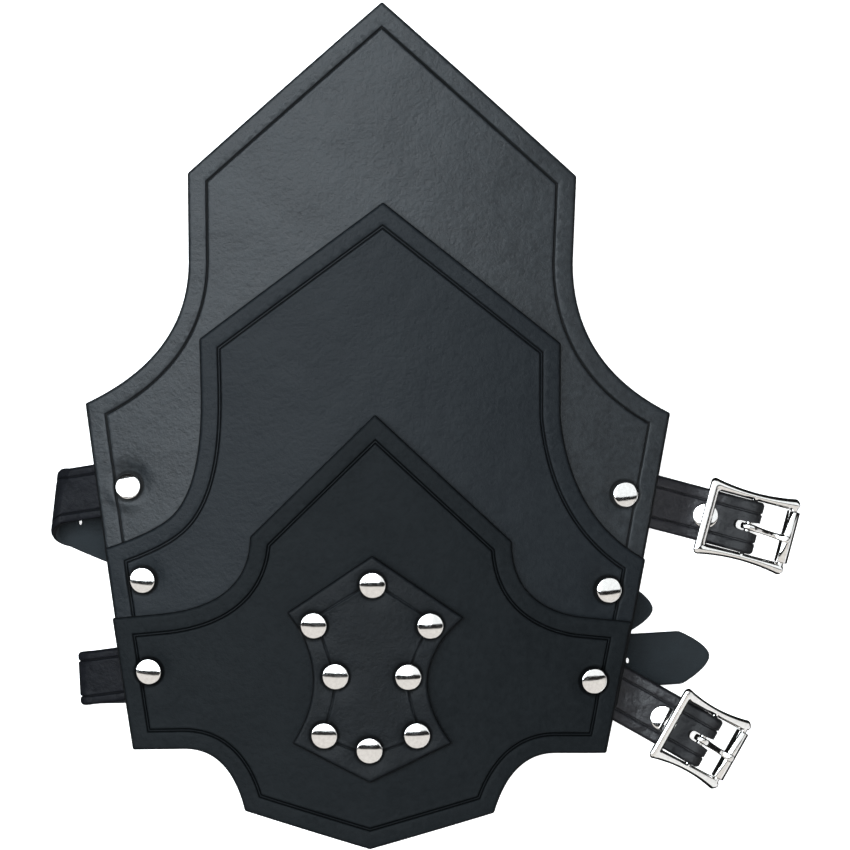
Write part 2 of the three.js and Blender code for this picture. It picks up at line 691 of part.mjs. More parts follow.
for (const chape of CHAPES) {
  const matrix = buckleMatrix(chape);
  addMesh(`chape_${chape.side}`, chapeSolid(chape), STRAP_COLOUR, false);
  addMesh(`chape_rivet_${chape.side}`, chapeRivet(chape), NICKEL_COLOUR, true);
  addMesh(`buckle_frame_${chape.side}`, frameSolid(matrix), NICKEL_COLOUR, true);
  addMesh(`buckle_roller_${chape.side}`, rollerSolid(matrix), NICKEL_COLOUR, true);
  addMesh(`buckle_tongue_${chape.side}`, tongueSolid(matrix), NICKEL_COLOUR, true);
}

// The origin is under the middle of the whole piece, on the table
const reach = new THREE.Box3().setFromObject(vambrace);
const middle = reach.getCenter(new THREE.Vector3());
vambrace.position.set(-middle.x, -middle.y, 0);

export default vambrace;
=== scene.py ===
import bisect
import math

import bmesh
import bpy
import numpy as np
from mathutils import Matrix, Vector
from mathutils.geometry import delaunay_2d_cdt, intersect_line_line_2d


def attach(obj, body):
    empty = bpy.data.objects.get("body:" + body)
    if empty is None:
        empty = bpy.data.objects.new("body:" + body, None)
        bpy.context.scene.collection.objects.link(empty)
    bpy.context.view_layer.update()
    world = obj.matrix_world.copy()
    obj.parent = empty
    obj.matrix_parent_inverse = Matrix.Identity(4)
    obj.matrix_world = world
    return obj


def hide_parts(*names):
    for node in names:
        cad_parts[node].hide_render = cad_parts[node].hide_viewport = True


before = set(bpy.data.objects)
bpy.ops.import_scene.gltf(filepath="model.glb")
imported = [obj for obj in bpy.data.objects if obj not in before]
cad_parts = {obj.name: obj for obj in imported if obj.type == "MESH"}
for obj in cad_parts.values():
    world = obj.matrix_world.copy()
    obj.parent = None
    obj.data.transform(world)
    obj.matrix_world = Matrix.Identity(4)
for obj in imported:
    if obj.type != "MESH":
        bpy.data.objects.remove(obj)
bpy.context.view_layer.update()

# A leather vambrace that lies with its outer face up: three riveted plates and a badge over a
# shallow arch, two straps that fold under it, and two roller buckles on short chapes.
# Sizes are in millimetres as on the workbench. SHIFT takes the bench's zero to the frame's.

MM = 0.001
SHIFT = Vector((-18.823, 0.95, 0))
UP = Vector((0, 0, 1))

# Leather
PLATE_THICKNESS = 2.8
STRAP_THICKNESS = 2.8
CHAPE_THICKNESS = 2.4
STRAP_WIDTH = 19.05
GAP = 0.3
LAYER_PITCH = PLATE_THICKNESS + GAP

# The arch is part of a cone that grows towards the elbow
ARCH_X = -5
ARCH_RADIUS = 262
ARCH_RADIUS_SLOPE = 0.16
CROWN_Z = 41.7
CROWN_SLOPE = 0.07

# Rows of (distance from the cut edge, height of the face there)
EDGE_ROUNDING = ((0.0, -0.75), (0.3, -0.42), (0.6, -0.14), (0.95, -0.03), (1.4, 0.0))
CUT_LINE = ((6.0, 0.0), (6.2, -0.12), (6.35, -0.75), (6.65, -0.9), (6.95, -0.75), (7.15, -0.14),
            (7.4, 0.05), (8.1, 0.0))
DOUBLE_LINE = ((5.8, 0.0), (6.0, -0.12), (6.15, -0.75), (6.4, -0.8), (6.6, -0.3), (6.85, -0.26),
               (7.05, -0.8), (7.3, -0.75), (7.45, -0.12), (7.7, 0.06), (8.2, 0.0))
SHALLOW_LINE = ((6.1, 0.0), (6.3, -0.05), (6.5, -0.36), (6.75, -0.42), (7.05, -0.24), (7.3, 0.06),
                (7.6, 0.12), (8.1, 0.0))
# Rows of (distance from the middle of a crease, height there), and how far creases are from the edge
CREASE = ((-0.55, 0.0), (-0.35, -0.14), (-0.14, -0.55), (0.14, -0.55), (0.35, -0.14), (0.55, 0.0))
STRAP_CREASE_AT = 3.1
CHAPE_CREASE_AT = 4.1
CREASE_START = 1.5
CREASE_TO_NOSE = 2
WALL_BULGE = 0.14
# Painted shade on a face starts at this depth below it and is full at twice this depth
PAINTED_SHADE_DEPTH = 0.35
CORNER_SOFTNESS = 0.5
LINE_CORNER_SOFTNESS = 0.2
# An outline that turns by fewer degrees than this runs on smoothly
SMOOTH_CORNER = 15

# Spacing of the points that the leather is drawn with
OUTLINE_STEP = 0.75
PLATE_STEP = 1.4
PLATE_GRID = 2.7
BADGE_GRID = 1.9
STRAP_STEP = 1.3
CHAPE_STEP = 0.6
BAND_END_STEP = 0.8
FLAT_STEP = 2.0
SLOT_STEP = 0.5
# What the loose points between the lines keep clear of: the edge, the holes and the creases
PLATE_BORDER = 2.1
BAND_BORDER = 1.7
HOLE_CLEARANCE = 0.7
CREASE_CLEARANCE = 0.75
CREASE_END_CLEARANCE = 0.6

# Rivets: a shallow cap with a rolled rim, sunk into the leather that it clamps
RIVET_CROWN = 1.0
RIVET_RIM = ((4.3, 0.58), (4.48, 0.5), (4.62, 0.34), (4.7, 0.1), (4.66, -0.15), (4.5, -0.4),
             (4.2, -0.58), (3.8, -0.64))
RIVET_SHANK_RADIUS = 1.5
# Rows of (radius, depth under the leather) of the back cap
RIVET_BACK = ((RIVET_SHANK_RADIUS, GAP), (3.5, GAP), (3.85, 0.4), (4.0, 0.65), (3.9, 0.95),
              (3.5, 1.15), (2.4, 1.27), (0, 1.3))
RIVET_HOLE_RADIUS = 1.8
# How many sides the round things have
RIVET_SIDES = 48
HOLE_SIDES = 20
STRAP_HOLE_SIDES = 18
BAR_SIDES = 28
ROLLER_SIDES = 56
TABLE_SIDES = 96
# Rows of (distance from a rivet's centre, height of the leather there)
DISH = ((0, -0.8), (5.0, -0.8), (5.35, -0.62), (5.7, -0.45), (6.6, -0.27), (8.2, -0.11), (11.5, 0))
DISH_REACH = DISH[-1][0]
# Rings of points round a rivet: radius and count
DISH_RINGS = ((3, 16), (4.4, 28), (5.0, 34), (5.35, 34), (5.7, 36), (6.15, 36), (6.6, 36), (7.4, 36),
              (8.2, 36), (9.6, 38), (11.2, 40))

# Straps and chapes
STRAP_HOLES = 8
STRAP_HOLE_HALF = (0.65, 1.1)
FIRST_HOLE = 29.8
HOLE_PITCH = 26
NOSE_LENGTH = 10.6
NOSE_POWER = 0.58
# Where the nose's outline is drawn, in parts of its length from the tip
NOSE_PARTS = (0.86, 0.72, 0.6, 0.48, 0.37, 0.27, 0.19, 0.12, 0.07, 0.035, 0.012, 0.002)
# How far a strap lies on the table before its edges run square to it
STRAP_SETTLE = 40
RIVET_END_MARGIN = 8.5
RIVET_STATION = 10
CHAPE_RIVET_TO_BAR = 15.85
CHAPE_SAG = 2.62
CHAPE_TAIL = 8
CHAPE_FLAT = 4
# Painted shadow on the chape under the buckle frame and tongue: its strength, and the millimetres
# over which it fades in
CHAPE_PAINTED_SHADOW = 0.6
PAINTED_SHADOW_FADE = 3
# The tongue's slot, from its end on the upper layer round the fold to its end below: rows of
# (distance from the outermost line of the fold, half width)
SLOT = ((-9.6, 0.0), (-9.4, 0.95), (-8.9, 1.5), (-7.5, 1.75), (-4.4, 1.8), (-2, 2.0), (0, 2.25),
        (4.4, 2.25), (9.9, 2.2), (10.6, 1.6), (10.8, 0.0))

# Buckles, measured from the centre bar along the strap
NEAR_EDGE = 18
NEAR_BAR = 3.9
FAR_BAR = 15.6
FRAME_END = 17.2
FRAME_HALF_END = 14.2
FRAME_HALF_WAIST = 12.6
FRAME_CORNER = 1.6
FRAME_HALF_THICKNESS = 1.3
FRAME_FULLNESS = 2.1
# A section that is narrower than this on each side is thinner too
FRAME_THIN_FROM = 0.9
WINDOW_HALF = 9.85
WINDOW_CORNER = 0.8
CENTRE_BAR_RADIUS = 1.25
FAR_BAR_RADIUS = 1.2
ROLLER_RADIUS = 2.3
TUBE_RADIUS = 2.38
ROLLER_BORE = 1.5
ROLLER_CLEARANCE = 0.1
TONGUE_THICKNESS = 1.2
TONGUE_LENGTH = 15.9
TONGUE_SWAY = 1
TONGUE_FULLNESS = 2.4
# Where the eye starts in degrees from the bar's top, how far it goes round, and its section
TONGUE_EYE_START = -265
TONGUE_EYE_SWEEP = 320
TONGUE_EYE_SECTION = (1.1, 0.55)
# Rows of (distance from the bar, height, half width, half thickness) along the tongue's arm
TONGUE_ARM = ((0, 2.15, 1.15, 0.6), (1.4, 2.12, 1.2, 0.6), (3, 1.85, 1.1, 0.58),
              (4.6, 1.5, 1.02, 0.56), (7.4, 0.98, 1.0, 0.55), (10.2, 0.5, 1.02, 0.55),
              (11.6, 0.75, 1.12, 0.52), (12.9, 2.0, 1.28, 0.48), (13.8, 2.8, 1.38, 0.44),
              (14.7, 3.08, 1.36, 0.42), (15.5, 3.05, 1.0, 0.36), (15.9, 2.98, 0.4, 0.26))
FOLD_RADIUS = CENTRE_BAR_RADIUS + GAP + CHAPE_THICKNESS / 2

# Outlines in plan, clockwise from the top point. A row of four is a curve that ends at its first
# two numbers, pulled towards the last two.
MAIN_OUTLINE = (
    (2.7, 148.6), (71.4, 88.3), (70.2, 57.9), (105.8, 4.3, 70.1, 21.4), (96.4, -47.1),
    (86.6, -101), (-88.7, -101), (-96.8, -43.7), (-103.7, 7.7), (-65.9, 57.7, -66.2, 24.5),
    (-66.1, 89.1))
MIDDLE_OUTLINE = (
    (3.1, 78.2), (65.9, 28.9), (65.9, 3), (96.7, -48.2, 69.5, -33), (86.5, -101), (-88.5, -101),
    (-96.6, -44.2), (-71.8, -32, -77.8, -38.1), (-61.6, 12, -61, -21), (-62, 30.4))
LOWER_OUTLINE = (
    (0.2, 3.5), (48.6, -41.4), (72, -68.3, 48.4, -63.5), (91.8, -70.5), (82.6, -117.4),
    (64, -116.9), (42.3, -137.9, 48.5, -116.8), (-1.7, -150.5), (-46.1, -137.1),
    (-68, -115.3, -51.5, -114.8), (-86.5, -116), (-93.7, -69.1), (-75.3, -67.2),
    (-44, -39.6, -44.5, -63.5))
BADGE_OUTLINE = (
    (-0.8, -46.1), (31.5, -68.1), (27.3, -112.6, 8.4, -87.7), (-1.7, -126.5), (-29, -112.6),
    (-30.9, -66.3, -13.5, -88.4))

# The line tooled on the badge runs from rivet to rivet
BADGE_LINE = (
    (-0.7, -54.5), (21.6, -69), (12.7, -89.5, 14, -81), (18.3, -110.4, 12.4, -99), (-1.8, -117.6),
    (-20.3, -110.7), (-14.8, -90, -14.8, -100), (-22.2, -67.7, -16.3, -82))

# From the arm up: name, outline, tooled line, and the leather's dark and light dye, roughness and
# gloss. Each plate is a layer. The plates are one leather, but their dye and gloss differ as
# painted light and shade: the main plate is lighter and glossier, and the middle, lower and
# badge plates darker and duller.
PLATES = (
    ("main_plate", MAIN_OUTLINE, CUT_LINE, ("#15181b", "#272b2e", 0.42, 0.26)),
    ("middle_plate", MIDDLE_OUTLINE, DOUBLE_LINE, ("#12161a", "#1b1f22", 0.46, 0.115)),
    ("lower_plate", LOWER_OUTLINE, DOUBLE_LINE, ("#111416", "#191c1e", 0.47, 0.04)),
    ("badge_plate", BADGE_OUTLINE, SHALLOW_LINE, ("#0c0f11", "#14171a", 0.46, 0.095)),
)

# Name, place in plan, top layer, bottom layer, the thickness riveted under that, and the degrees
# that the cap leans towards +X and +Y from the leather's slope, because no cap is set quite square
PLATE_RIVETS = (
    ("badge_rivet_top", -0.7, -56.5, 3, 0, 0, (0, -2.8)),
    ("badge_rivet_left_shoulder", -21.5, -70.8, 3, 0, 0, (0, -2.6)),
    ("badge_rivet_right_shoulder", 19.7, -70.9, 3, 0, 0, (0, -0.7)),
    ("badge_rivet_left_waist", -13.8, -88.8, 3, 0, 0, (0, -2.3)),
    ("badge_rivet_right_waist", 11.9, -89, 3, 0, 0, (0, -0.7)),
    ("badge_rivet_left_foot", -17.8, -109.8, 3, 2, 0, (0, -2.8)),
    ("badge_rivet_right_foot", 15, -109.8, 3, 2, 0, (0, -2.1)),
    ("badge_rivet_bottom", -1.8, -115.1, 3, 2, 0, (0, -3.7)),
    ("side_rivet_main_left", -88.3, -21.9, 0, 0, STRAP_THICKNESS, (6, 10)),
    ("side_rivet_main_right", 89.7, -24.8, 0, 0, CHAPE_THICKNESS, (-7, 2.6)),
    ("side_rivet_middle_left", -83, -55.4, 1, 0, 0, (6, 1)),
    ("side_rivet_middle_right", 83.7, -59, 1, 0, 0, (-7, 1.8)),
    ("side_rivet_lower_left", -80.7, -87.9, 2, 0, STRAP_THICKNESS, (6, 0.9)),
    ("side_rivet_lower_right", 78.3, -91.4, 2, 0, CHAPE_THICKNESS, (-6, -2.5)),
)
CHAPE_RIVET_LEAN = (0, 2.5)

# Headings in degrees from +X: the strap's way out, its fold line and its way back
STRAPS = (
    dict(name="strap_upper", rivet="side_rivet_main_left", out=189, fold=83.5, back=-25,
         reach=23.4, drop=8.2, tip=(100.5, -66.8), tip_heading=-1.5, handle=75),
    dict(name="strap_lower", rivet="side_rivet_lower_left", out=188.7, fold=93, back=1.2,
         reach=22.8, drop=0.3, tip=(121.1, -83.6), tip_heading=4.5, handle=60),
)
CHAPES = (
    dict(side="upper", rivet="side_rivet_main_right", heading=-14.9, reach=46.6, edge=12,
         tilt=15.5),
    dict(side="lower", rivet="side_rivet_lower_right", heading=-29.4, reach=45, edge=11, tilt=36),
)

# The room, in metres. The table is turned from rows of (radius, height).
TABLE = ((0, 0), (3, 0), (3.02, -0.02), (3, -0.04), (0, -0.04))
CARD = dict(toward=-32, distance=2.7, width=3.6, height=1.6)
CARD_THICKNESS = 0.04
ROOM_LIGHT = 0.012
CAMERA_LENS = 174.7
CAMERA_AT = (-0.0010, 0.00095, 1.5)
SOFTBOX_HEIGHT = 1.75
# Name, two corners in plan, radiance and colour
SOFTBOXES = (
    ("left_softbox", (-3.5, -0.33), (0.4, 0.85), 7.0, (0.92, 1.0, 1.06)),
    ("right_softbox", (0.4, -0.33), (2.4, 0.85), 1.25, (0.95, 1.0, 1.03)),
    ("lower_softbox", (-3.5, -3.6), (2.4, -0.6), 0.92, (1.0, 0.98, 0.95)),
)


# Colours and nodes

# The sockets of a colour mix
MIX_FROM, MIX_TO, MIX_RESULT = 6, 7, 2


def linear(colour):
    """An sRGB hex colour as the linear RGBA that the nodes take."""
    parts = [int(colour[i:i + 2], 16) / 255 for i in (1, 3, 5)]
    return [c / 12.92 if c <= 0.04045 else ((c + 0.055) / 1.055) ** 2.4 for c in parts] + [1]


def add_node(tree, kind, feeds=None, output=0, **settings):
    """Adds a node with its settings. Each of its inputs takes a number, a hex colour or another
    node's output. Returns one of its own outputs, where it has any."""
    node = tree.nodes.new(kind)
    for key, value in settings.items():
        setattr(node, key, value)
    for key, value in (feeds or {}).items():
        if isinstance(value, bpy.types.NodeSocket):
            tree.links.new(value, node.inputs[key])
        else:
            node.inputs[key].default_value = linear(value) if isinstance(value, str) else value
    return node.outputs[output] if len(node.outputs) else None


def new_material(name):
    """A bare material, its nodes and the place on the piece that its patterns follow."""
    material = bpy.data.materials.new(name)
    material.use_nodes = True
    tree = material.node_tree
    tree.nodes.clear()
    return material, tree, add_node(tree, "ShaderNodeTexCoord", output="Object")


def finished(material, dye, gloss, reliefs, inputs):
    """The material with its shader. Dye is a pattern and the colours at both ends of it, gloss a
    pattern and the roughness at both ends, and each relief, from the coarsest on, is a pattern,
    its height in millimetres and its strength. Inputs are what the shader takes besides."""
    tree = material.node_tree
    inputs["Base Color"] = add_node(tree, "ShaderNodeMix", {
        "Factor": dye[0], MIX_FROM: dye[1], MIX_TO: dye[2]}, MIX_RESULT, data_type="RGBA")
    inputs["Roughness"] = add_node(tree, "ShaderNodeMapRange", {
        "Value": gloss[0], "To Min": gloss[1], "To Max": gloss[2]})
    under = {}
    for pattern, height, strength in reliefs:
        inputs["Normal"] = add_node(tree, "ShaderNodeBump", {
            "Height": pattern, "Distance": height * MM, "Strength": strength, **under})
        under = {"Normal": inputs["Normal"]}
    shader = add_node(tree, "ShaderNodeBsdfPrincipled", inputs)
    add_node(tree, "ShaderNodeOutputMaterial", {"Surface": shader})
    return material


def mottled(tree, place, size, detail=3.0, roughness=0.5):
    """An uneven pattern with features of a given size in millimetres, from 0 to 1."""
    clouds = add_node(tree, "ShaderNodeTexNoise", {
        "Vector": place, "Scale": 1 / (size * MM), "Detail": detail, "Roughness": roughness})
    return add_node(tree, "ShaderNodeMapRange", {
        "Value": clouds, "From Min": 0.32, "From Max": 0.68})


def weighed(tree, *patterns):
    """The sum of several patterns, each given with its weight."""
    result = 0.0
    for pattern, weight in patterns:
        result = add_node(tree, "ShaderNodeMath", {0: pattern, 1: weight, 2: result},
                          operation="MULTIPLY_ADD")
    return result


def burnished_leather(name, dark, light, roughness, specular, wrinkle=0.0):
    """Vegetable-tanned cowhide, drum-dyed black and burnished: a fine pebbled grain that breaks up
    a broad soft gloss, and dye that took a little unevenly. Painted shade from the painted_shade
    attribute turns it near black and duller in every recess, round the rivets, along the creases
    and wherever else the attribute is set. Where it was bent and worn it has wrinkles about 6 mm
    apart."""
    material, tree, place = new_material(name)
    painted_shade = add_node(tree, "ShaderNodeAttribute", None, "Fac", attribute_name="painted_shade")
    pebbles = add_node(tree, "ShaderNodeTexVoronoi", {"Vector": place, "Scale": 1 / (1.1 * MM)},
                       "Distance", feature="SMOOTH_F1")
    mottle = mottled(tree, place, 2.2, 4.0, 0.65)
    swell = weighed(tree, (mottled(tree, place, 20, 2.0), 0.8),
                    (mottled(tree, place, 6, 2.0), wrinkle))
    grain = weighed(tree, (pebbles, 0.5), (mottled(tree, place, 0.5), 0.2), (mottle, 1.0))
    patches = weighed(tree, (mottle, 0.7), (mottled(tree, place, 24), 0.3))
    dyed = add_node(tree, "ShaderNodeMix", {
        "Factor": patches, MIX_FROM: dark, MIX_TO: light}, MIX_RESULT, data_type="RGBA")
    # Painted shade: where the painted_shade attribute is set, near black #040506 is mixed into the
    # dye and the leather is duller.
    dull = weighed(tree, (mottle, 0.3), (painted_shade, 0.7))
    return finished(material, (painted_shade, dyed, "#040506"),
                    (dull, roughness - 0.06, roughness + 0.34),
                    [(swell, 0.6, 0.6), (grain, 0.13, 0.8)], {"Specular IOR Level": specular})


def suede_back(name, dark, light):
    """The flesh side of the hide, shaved and dyed: short matt nap with a faint lighter bloom."""
    material, tree, place = new_material(name)
    nap = mottled(tree, place, 0.5, 4.0, 0.7)
    blotches = mottled(tree, place, 6)
    bloom = weighed(tree, (nap, 0.4), (blotches, 0.6))
    return finished(material, (bloom, dark, light), (blotches, 0.8, 0.9), [(nap, 0.2, 0.6)],
                    {"Specular IOR Level": 0.2})


def dyed_edge(name, dark, light):
    """A cut edge, dyed and rubbed with wax: fine fibres along it and a duller shine."""
    material, tree, place = new_material(name)
    fibres = mottled(tree, place, 0.65)
    return finished(material, (fibres, dark, light), (fibres, 0.5, 0.65), [(fibres, 0.1, 0.5)],
                    {"Specular IOR Level": 0.2})


def bright_nickel(name, roughness):
    """Nickel plate over a buffed casting: mirror bright, with faint ripples from the buffing
    wheel, a little haze and a slightly warm grey."""
    material, tree, place = new_material(name)
    haze = mottled(tree, place, 1.1, 4.0)
    ripples = mottled(tree, place, 4, 2.0)
    return finished(material, (haze, "#dedbd8", "#e8e6e3"), (haze, roughness, roughness + 0.05),
                    [(ripples, 0.03, 0.3)], {"Metallic": 1.0})


def studio_paper(name, dark, light, glow):
    """Matt white paper or table top under strong light, so bright that it has hardly a tone."""
    material, tree, place = new_material(name)
    grit = mottled(tree, place, 3.3, 2.0)
    return finished(material, (grit, dark, light), (grit, 0.88, 0.92), [], {
        "Specular IOR Level": 0.1, "Emission Color": "#ffffff", "Emission Strength": glow})


# Making pieces

def mesh_from(name, bm):
    mesh = bpy.data.meshes.new(name)
    bm.to_mesh(mesh)
    bm.free()
    return mesh


def put_in_scene(name, data):
    item = bpy.data.objects.new(name, data)
    bpy.context.scene.collection.objects.link(item)
    return item


def add_piece(name, bm, materials, body, node, sharp_angle=50):
    """Turns a bench mesh into a piece that rides a body and stands for a CAD node."""
    bmesh.ops.recalc_face_normals(bm, faces=bm.faces)
    mesh = mesh_from(name, bm)
    mesh.transform(Matrix.Diagonal((MM, MM, MM, 1)) @ Matrix.Translation(SHIFT))
    for material in materials:
        mesh.materials.append(material)
    mesh.shade_smooth()
    mesh.set_sharp_from_angle(angle=math.radians(sharp_angle))
    piece = put_in_scene(name, mesh)
    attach(piece, body)
    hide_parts(node)


def add_leather(node, bm, materials):
    add_piece(node + "_leather", bm, materials, "vambrace", node)


def add_metal(node, ending, bm, body="vambrace", sharp_angle=60):
    add_piece(node + ending, bm, [NICKEL], body, node, sharp_angle)


def heading(degrees):
    return Vector((math.cos(math.radians(degrees)), math.sin(math.radians(degrees)), 0))


def hermite(t, start, start_slope, end, end_slope):
    """Cubic with given values and slopes at both ends of 0..1."""
    return ((2 * t ** 3 - 3 * t ** 2 + 1) * start + (t ** 3 - 2 * t ** 2 + t) * start_slope
            + (3 * t ** 2 - 2 * t ** 3) * end + (t ** 3 - t ** 2) * end_slope)


def stretch_at(places, x):
    """Which stretch between neighbouring places a value falls in."""
    return min(max(bisect.bisect_right(places, x) - 1, 0), len(places) - 2)


def bent(x, places, values):
    """A smooth curve through values at given places."""
    k = stretch_at(places, x)

    def slope(i):
        low, high = max(i - 1, 0), min(i + 1, len(places) - 1)
        return (values[high] - values[low]) / (places[high] - places[low])

    span = places[k + 1] - places[k]
    return hermite((x - places[k]) / span, values[k], slope(k) * span, values[k + 1],
                   slope(k + 1) * span)


def smooth(t):
    t = min(1.0, max(0.0, t))
    return t * t * (3 - 2 * t)


def steps(count):
    """Even steps from 0 to 1."""
    return [i / count for i in range(count + 1)]


# The arch

def on_arch(x, y, offset):
    """The point, the slopes in X and Y and the normal `offset` above the main plate's face."""
    radius = ARCH_RADIUS + ARCH_RADIUS_SLOPE * y
    arm = radius + offset
    angle = math.asin((x - ARCH_X) / arm)
    height = CROWN_Z + CROWN_SLOPE * y - radius + arm * math.cos(angle)
    slope_x = -math.tan(angle)
    slope_y = CROWN_SLOPE - ARCH_RADIUS_SLOPE + ARCH_RADIUS_SLOPE / math.cos(angle)
    normal = Vector((-slope_x, -slope_y, 1)).normalized()
    return Vector((x, y, height)), slope_x, slope_y, normal


# Flat patterns

def distances(points):
    """How far along a line each of its points is."""
    lengths = [0.0]
    for a, b in zip(points, points[1:]):
        lengths.append(lengths[-1] + (b - a).length)
    return lengths


def evenly(points, step, start=0.0, end=0.0):
    """A row of points at even spacing along a line, cut short at both ends."""
    lengths = distances(points)
    total = lengths[-1] - start - end
    count = max(1, round(total / step))
    row = []
    for i in range(count + 1):
        distance = start + total * i / count
        k = stretch_at(lengths, distance)
        span = max(lengths[k + 1] - lengths[k], 1e-9)
        row.append(points[k].lerp(points[k + 1], (distance - lengths[k]) / span))
    return row


def outline_sides(rows):
    """The sides of an outline between its sharp corners, as rows of close points."""
    sides = []
    for start, end in zip(rows, rows[1:] + rows[:1]):
        a, b = Vector(start[:2]), Vector(end[:2])
        if len(end) == 4:
            pull = Vector(end[2:])
            run = [a * (1 - t) ** 2 + pull * 2 * t * (1 - t) + b * t * t for t in steps(24)]
        else:
            run = [a, b]
        if sides:
            before = (sides[-1][-1] - sides[-1][-2]).normalized()
            after = (run[1] - run[0]).normalized()
            if before.dot(after) > math.cos(math.radians(SMOOTH_CORNER)):
                sides[-1].extend(run[1:])
                continue
        sides.append(run)
    return [evenly(side, OUTLINE_STEP) for side in sides]


def shifted(side, depth):
    """A side moved inwards, with its ends drawn out so that it crosses its neighbours."""
    moved = []
    for i, point in enumerate(side):
        along = (side[min(i + 1, len(side) - 1)] - side[max(i - 1, 0)]).normalized()
        moved.append(point + Vector((along.y, -along.x)) * depth)
    first = (side[1] - side[0]).normalized()
    last = (side[-1] - side[-2]).normalized()
    return [moved[0] - first * depth] + moved + [moved[-1] + last * depth]


def crossing(before, after):
    """Where the end of one side crosses the start of the next, which is near its corner."""
    near = 40
    best = None
    for j in range(len(before) - 1, max(0, len(before) - near), -1):
        for i in range(min(len(after) - 1, near)):
            cost = (len(before) - 1 - j) + i
            if best and cost >= best[0]:
                break
            hit = intersect_line_line_2d(before[j - 1], before[j], after[i], after[i + 1])
            if hit:
                best = (cost, j, i, hit)
    return best


def inset_loop(sides, depth, step, soft):
    """The closed line at a given distance inside an outline, with softened corners."""
    if depth == 0:
        rows = [list(side) for side in sides]
    else:
        moved = [shifted(side, depth) for side in sides]
        hits = [crossing(moved[i - 1], moved[i]) for i in range(len(moved))]
        rows = []
        for i, side in enumerate(moved):
            start, end = hits[i], hits[(i + 1) % len(moved)]
            rows.append([start[3]] + side[start[2] + 1:end[1]] + [end[3]])
    loop = []
    for i, row in enumerate(rows):
        loop.extend(evenly(row, step, soft, soft))
        corner = row[-1]
        leave = loop[-1]
        meet = evenly(rows[(i + 1) % len(rows)], step, soft, soft)[0]
        loop.extend(leave * (1 - t) ** 2 + corner * 2 * t * (1 - t) + meet * t * t
                    for t in (0.3, 0.7))
    return loop


def circle(x, y, radius, count):
    return [Vector((x + radius * math.cos(math.tau * i / count),
                    y + radius * math.sin(math.tau * i / count))) for i in range(count)]


def inside(points, loop):
    """Which points lie inside a closed line."""
    x, y = points[:, 0], points[:, 1]
    result = np.zeros(len(points), dtype=bool)
    for a, b in zip(loop, loop[1:] + loop[:1]):
        if a.y == b.y:
            continue
        between = (a.y > y) != (b.y > y)
        result ^= between & (x < (b.x - a.x) * (y - a.y) / (b.y - a.y) + a.x)
    return result


class Pattern:
    """A flat piece of leather: its points, the height of both faces there and its cut lines."""

    def __init__(self, outline, holes):
        self.outline = outline
        self.holes = holes
        self.points = []
        self.heights = []
        self.cuts = []
        self.line(outline, EDGE_ROUNDING[0][1], EDGE_ROUNDING[0][1], clear=False)
        for hole in holes:
            self.line(hole, 0.0, 0.0, clear=False)

    def clear_of_holes(self, points):
        """Which points keep a small distance from every hole."""
        clear = np.ones(len(points), dtype=bool)
        for hole in self.holes:
            rim = np.array([point[:] for point in hole])
            gaps = np.hypot(points[:, None, 0] - rim[None, :, 0],
                            points[:, None, 1] - rim[None, :, 1])
            clear &= (gaps.min(axis=1) > HOLE_CLEARANCE) & ~inside(points, hole)
        return clear

    def line(self, row, top, bottom, closed=True, clear=True):
        """Draws a line whose points stand off the top and bottom faces by given heights."""
        kept = self.clear_of_holes(np.array([point[:] for point in row])) if clear \
            else [True] * len(row)
        places = []
        for point, keep in zip(row, kept):
            places.append(len(self.points) if keep else None)
            if keep:
                self.points.append(point)
                self.heights.append((top, bottom))
        for i in range(len(row) - (0 if closed else 1)):
            a, b = places[i], places[(i + 1) % len(row)]
            if a is not None and b is not None:
                self.cuts.append((a, b))

    def scatter(self, points, keep):
        """Adds loose points that pass a test."""
        if not points:
            return
        array = np.array([point[:] for point in points])
        for point, kept in zip(points, keep(array) & self.clear_of_holes(array)):
            if kept:
                self.points.append(point)
                self.heights.append((0.0, 0.0))

    def triangles(self):
        """The triangulated sheet: its points, their heights and its faces."""
        points, _, faces, origins, _, _ = delaunay_2d_cdt(
            self.points, self.cuts, [], 1, 1e-4)
        centres = np.array([(sum((points[k] for k in face), Vector((0, 0))) / len(face))[:]
                            for face in faces])
        kept = np.ones(len(faces), dtype=bool)
        for hole in self.holes:
            kept &= ~inside(centres, hole)
        heights = []
        for point, origin in zip(points, origins):
            source = origin[0] if origin else min(
                range(len(self.points)), key=lambda k: (self.points[k] - point).length)
            heights.append(self.heights[source])
        return points, heights, [face for face, keep in zip(faces, kept) if keep]


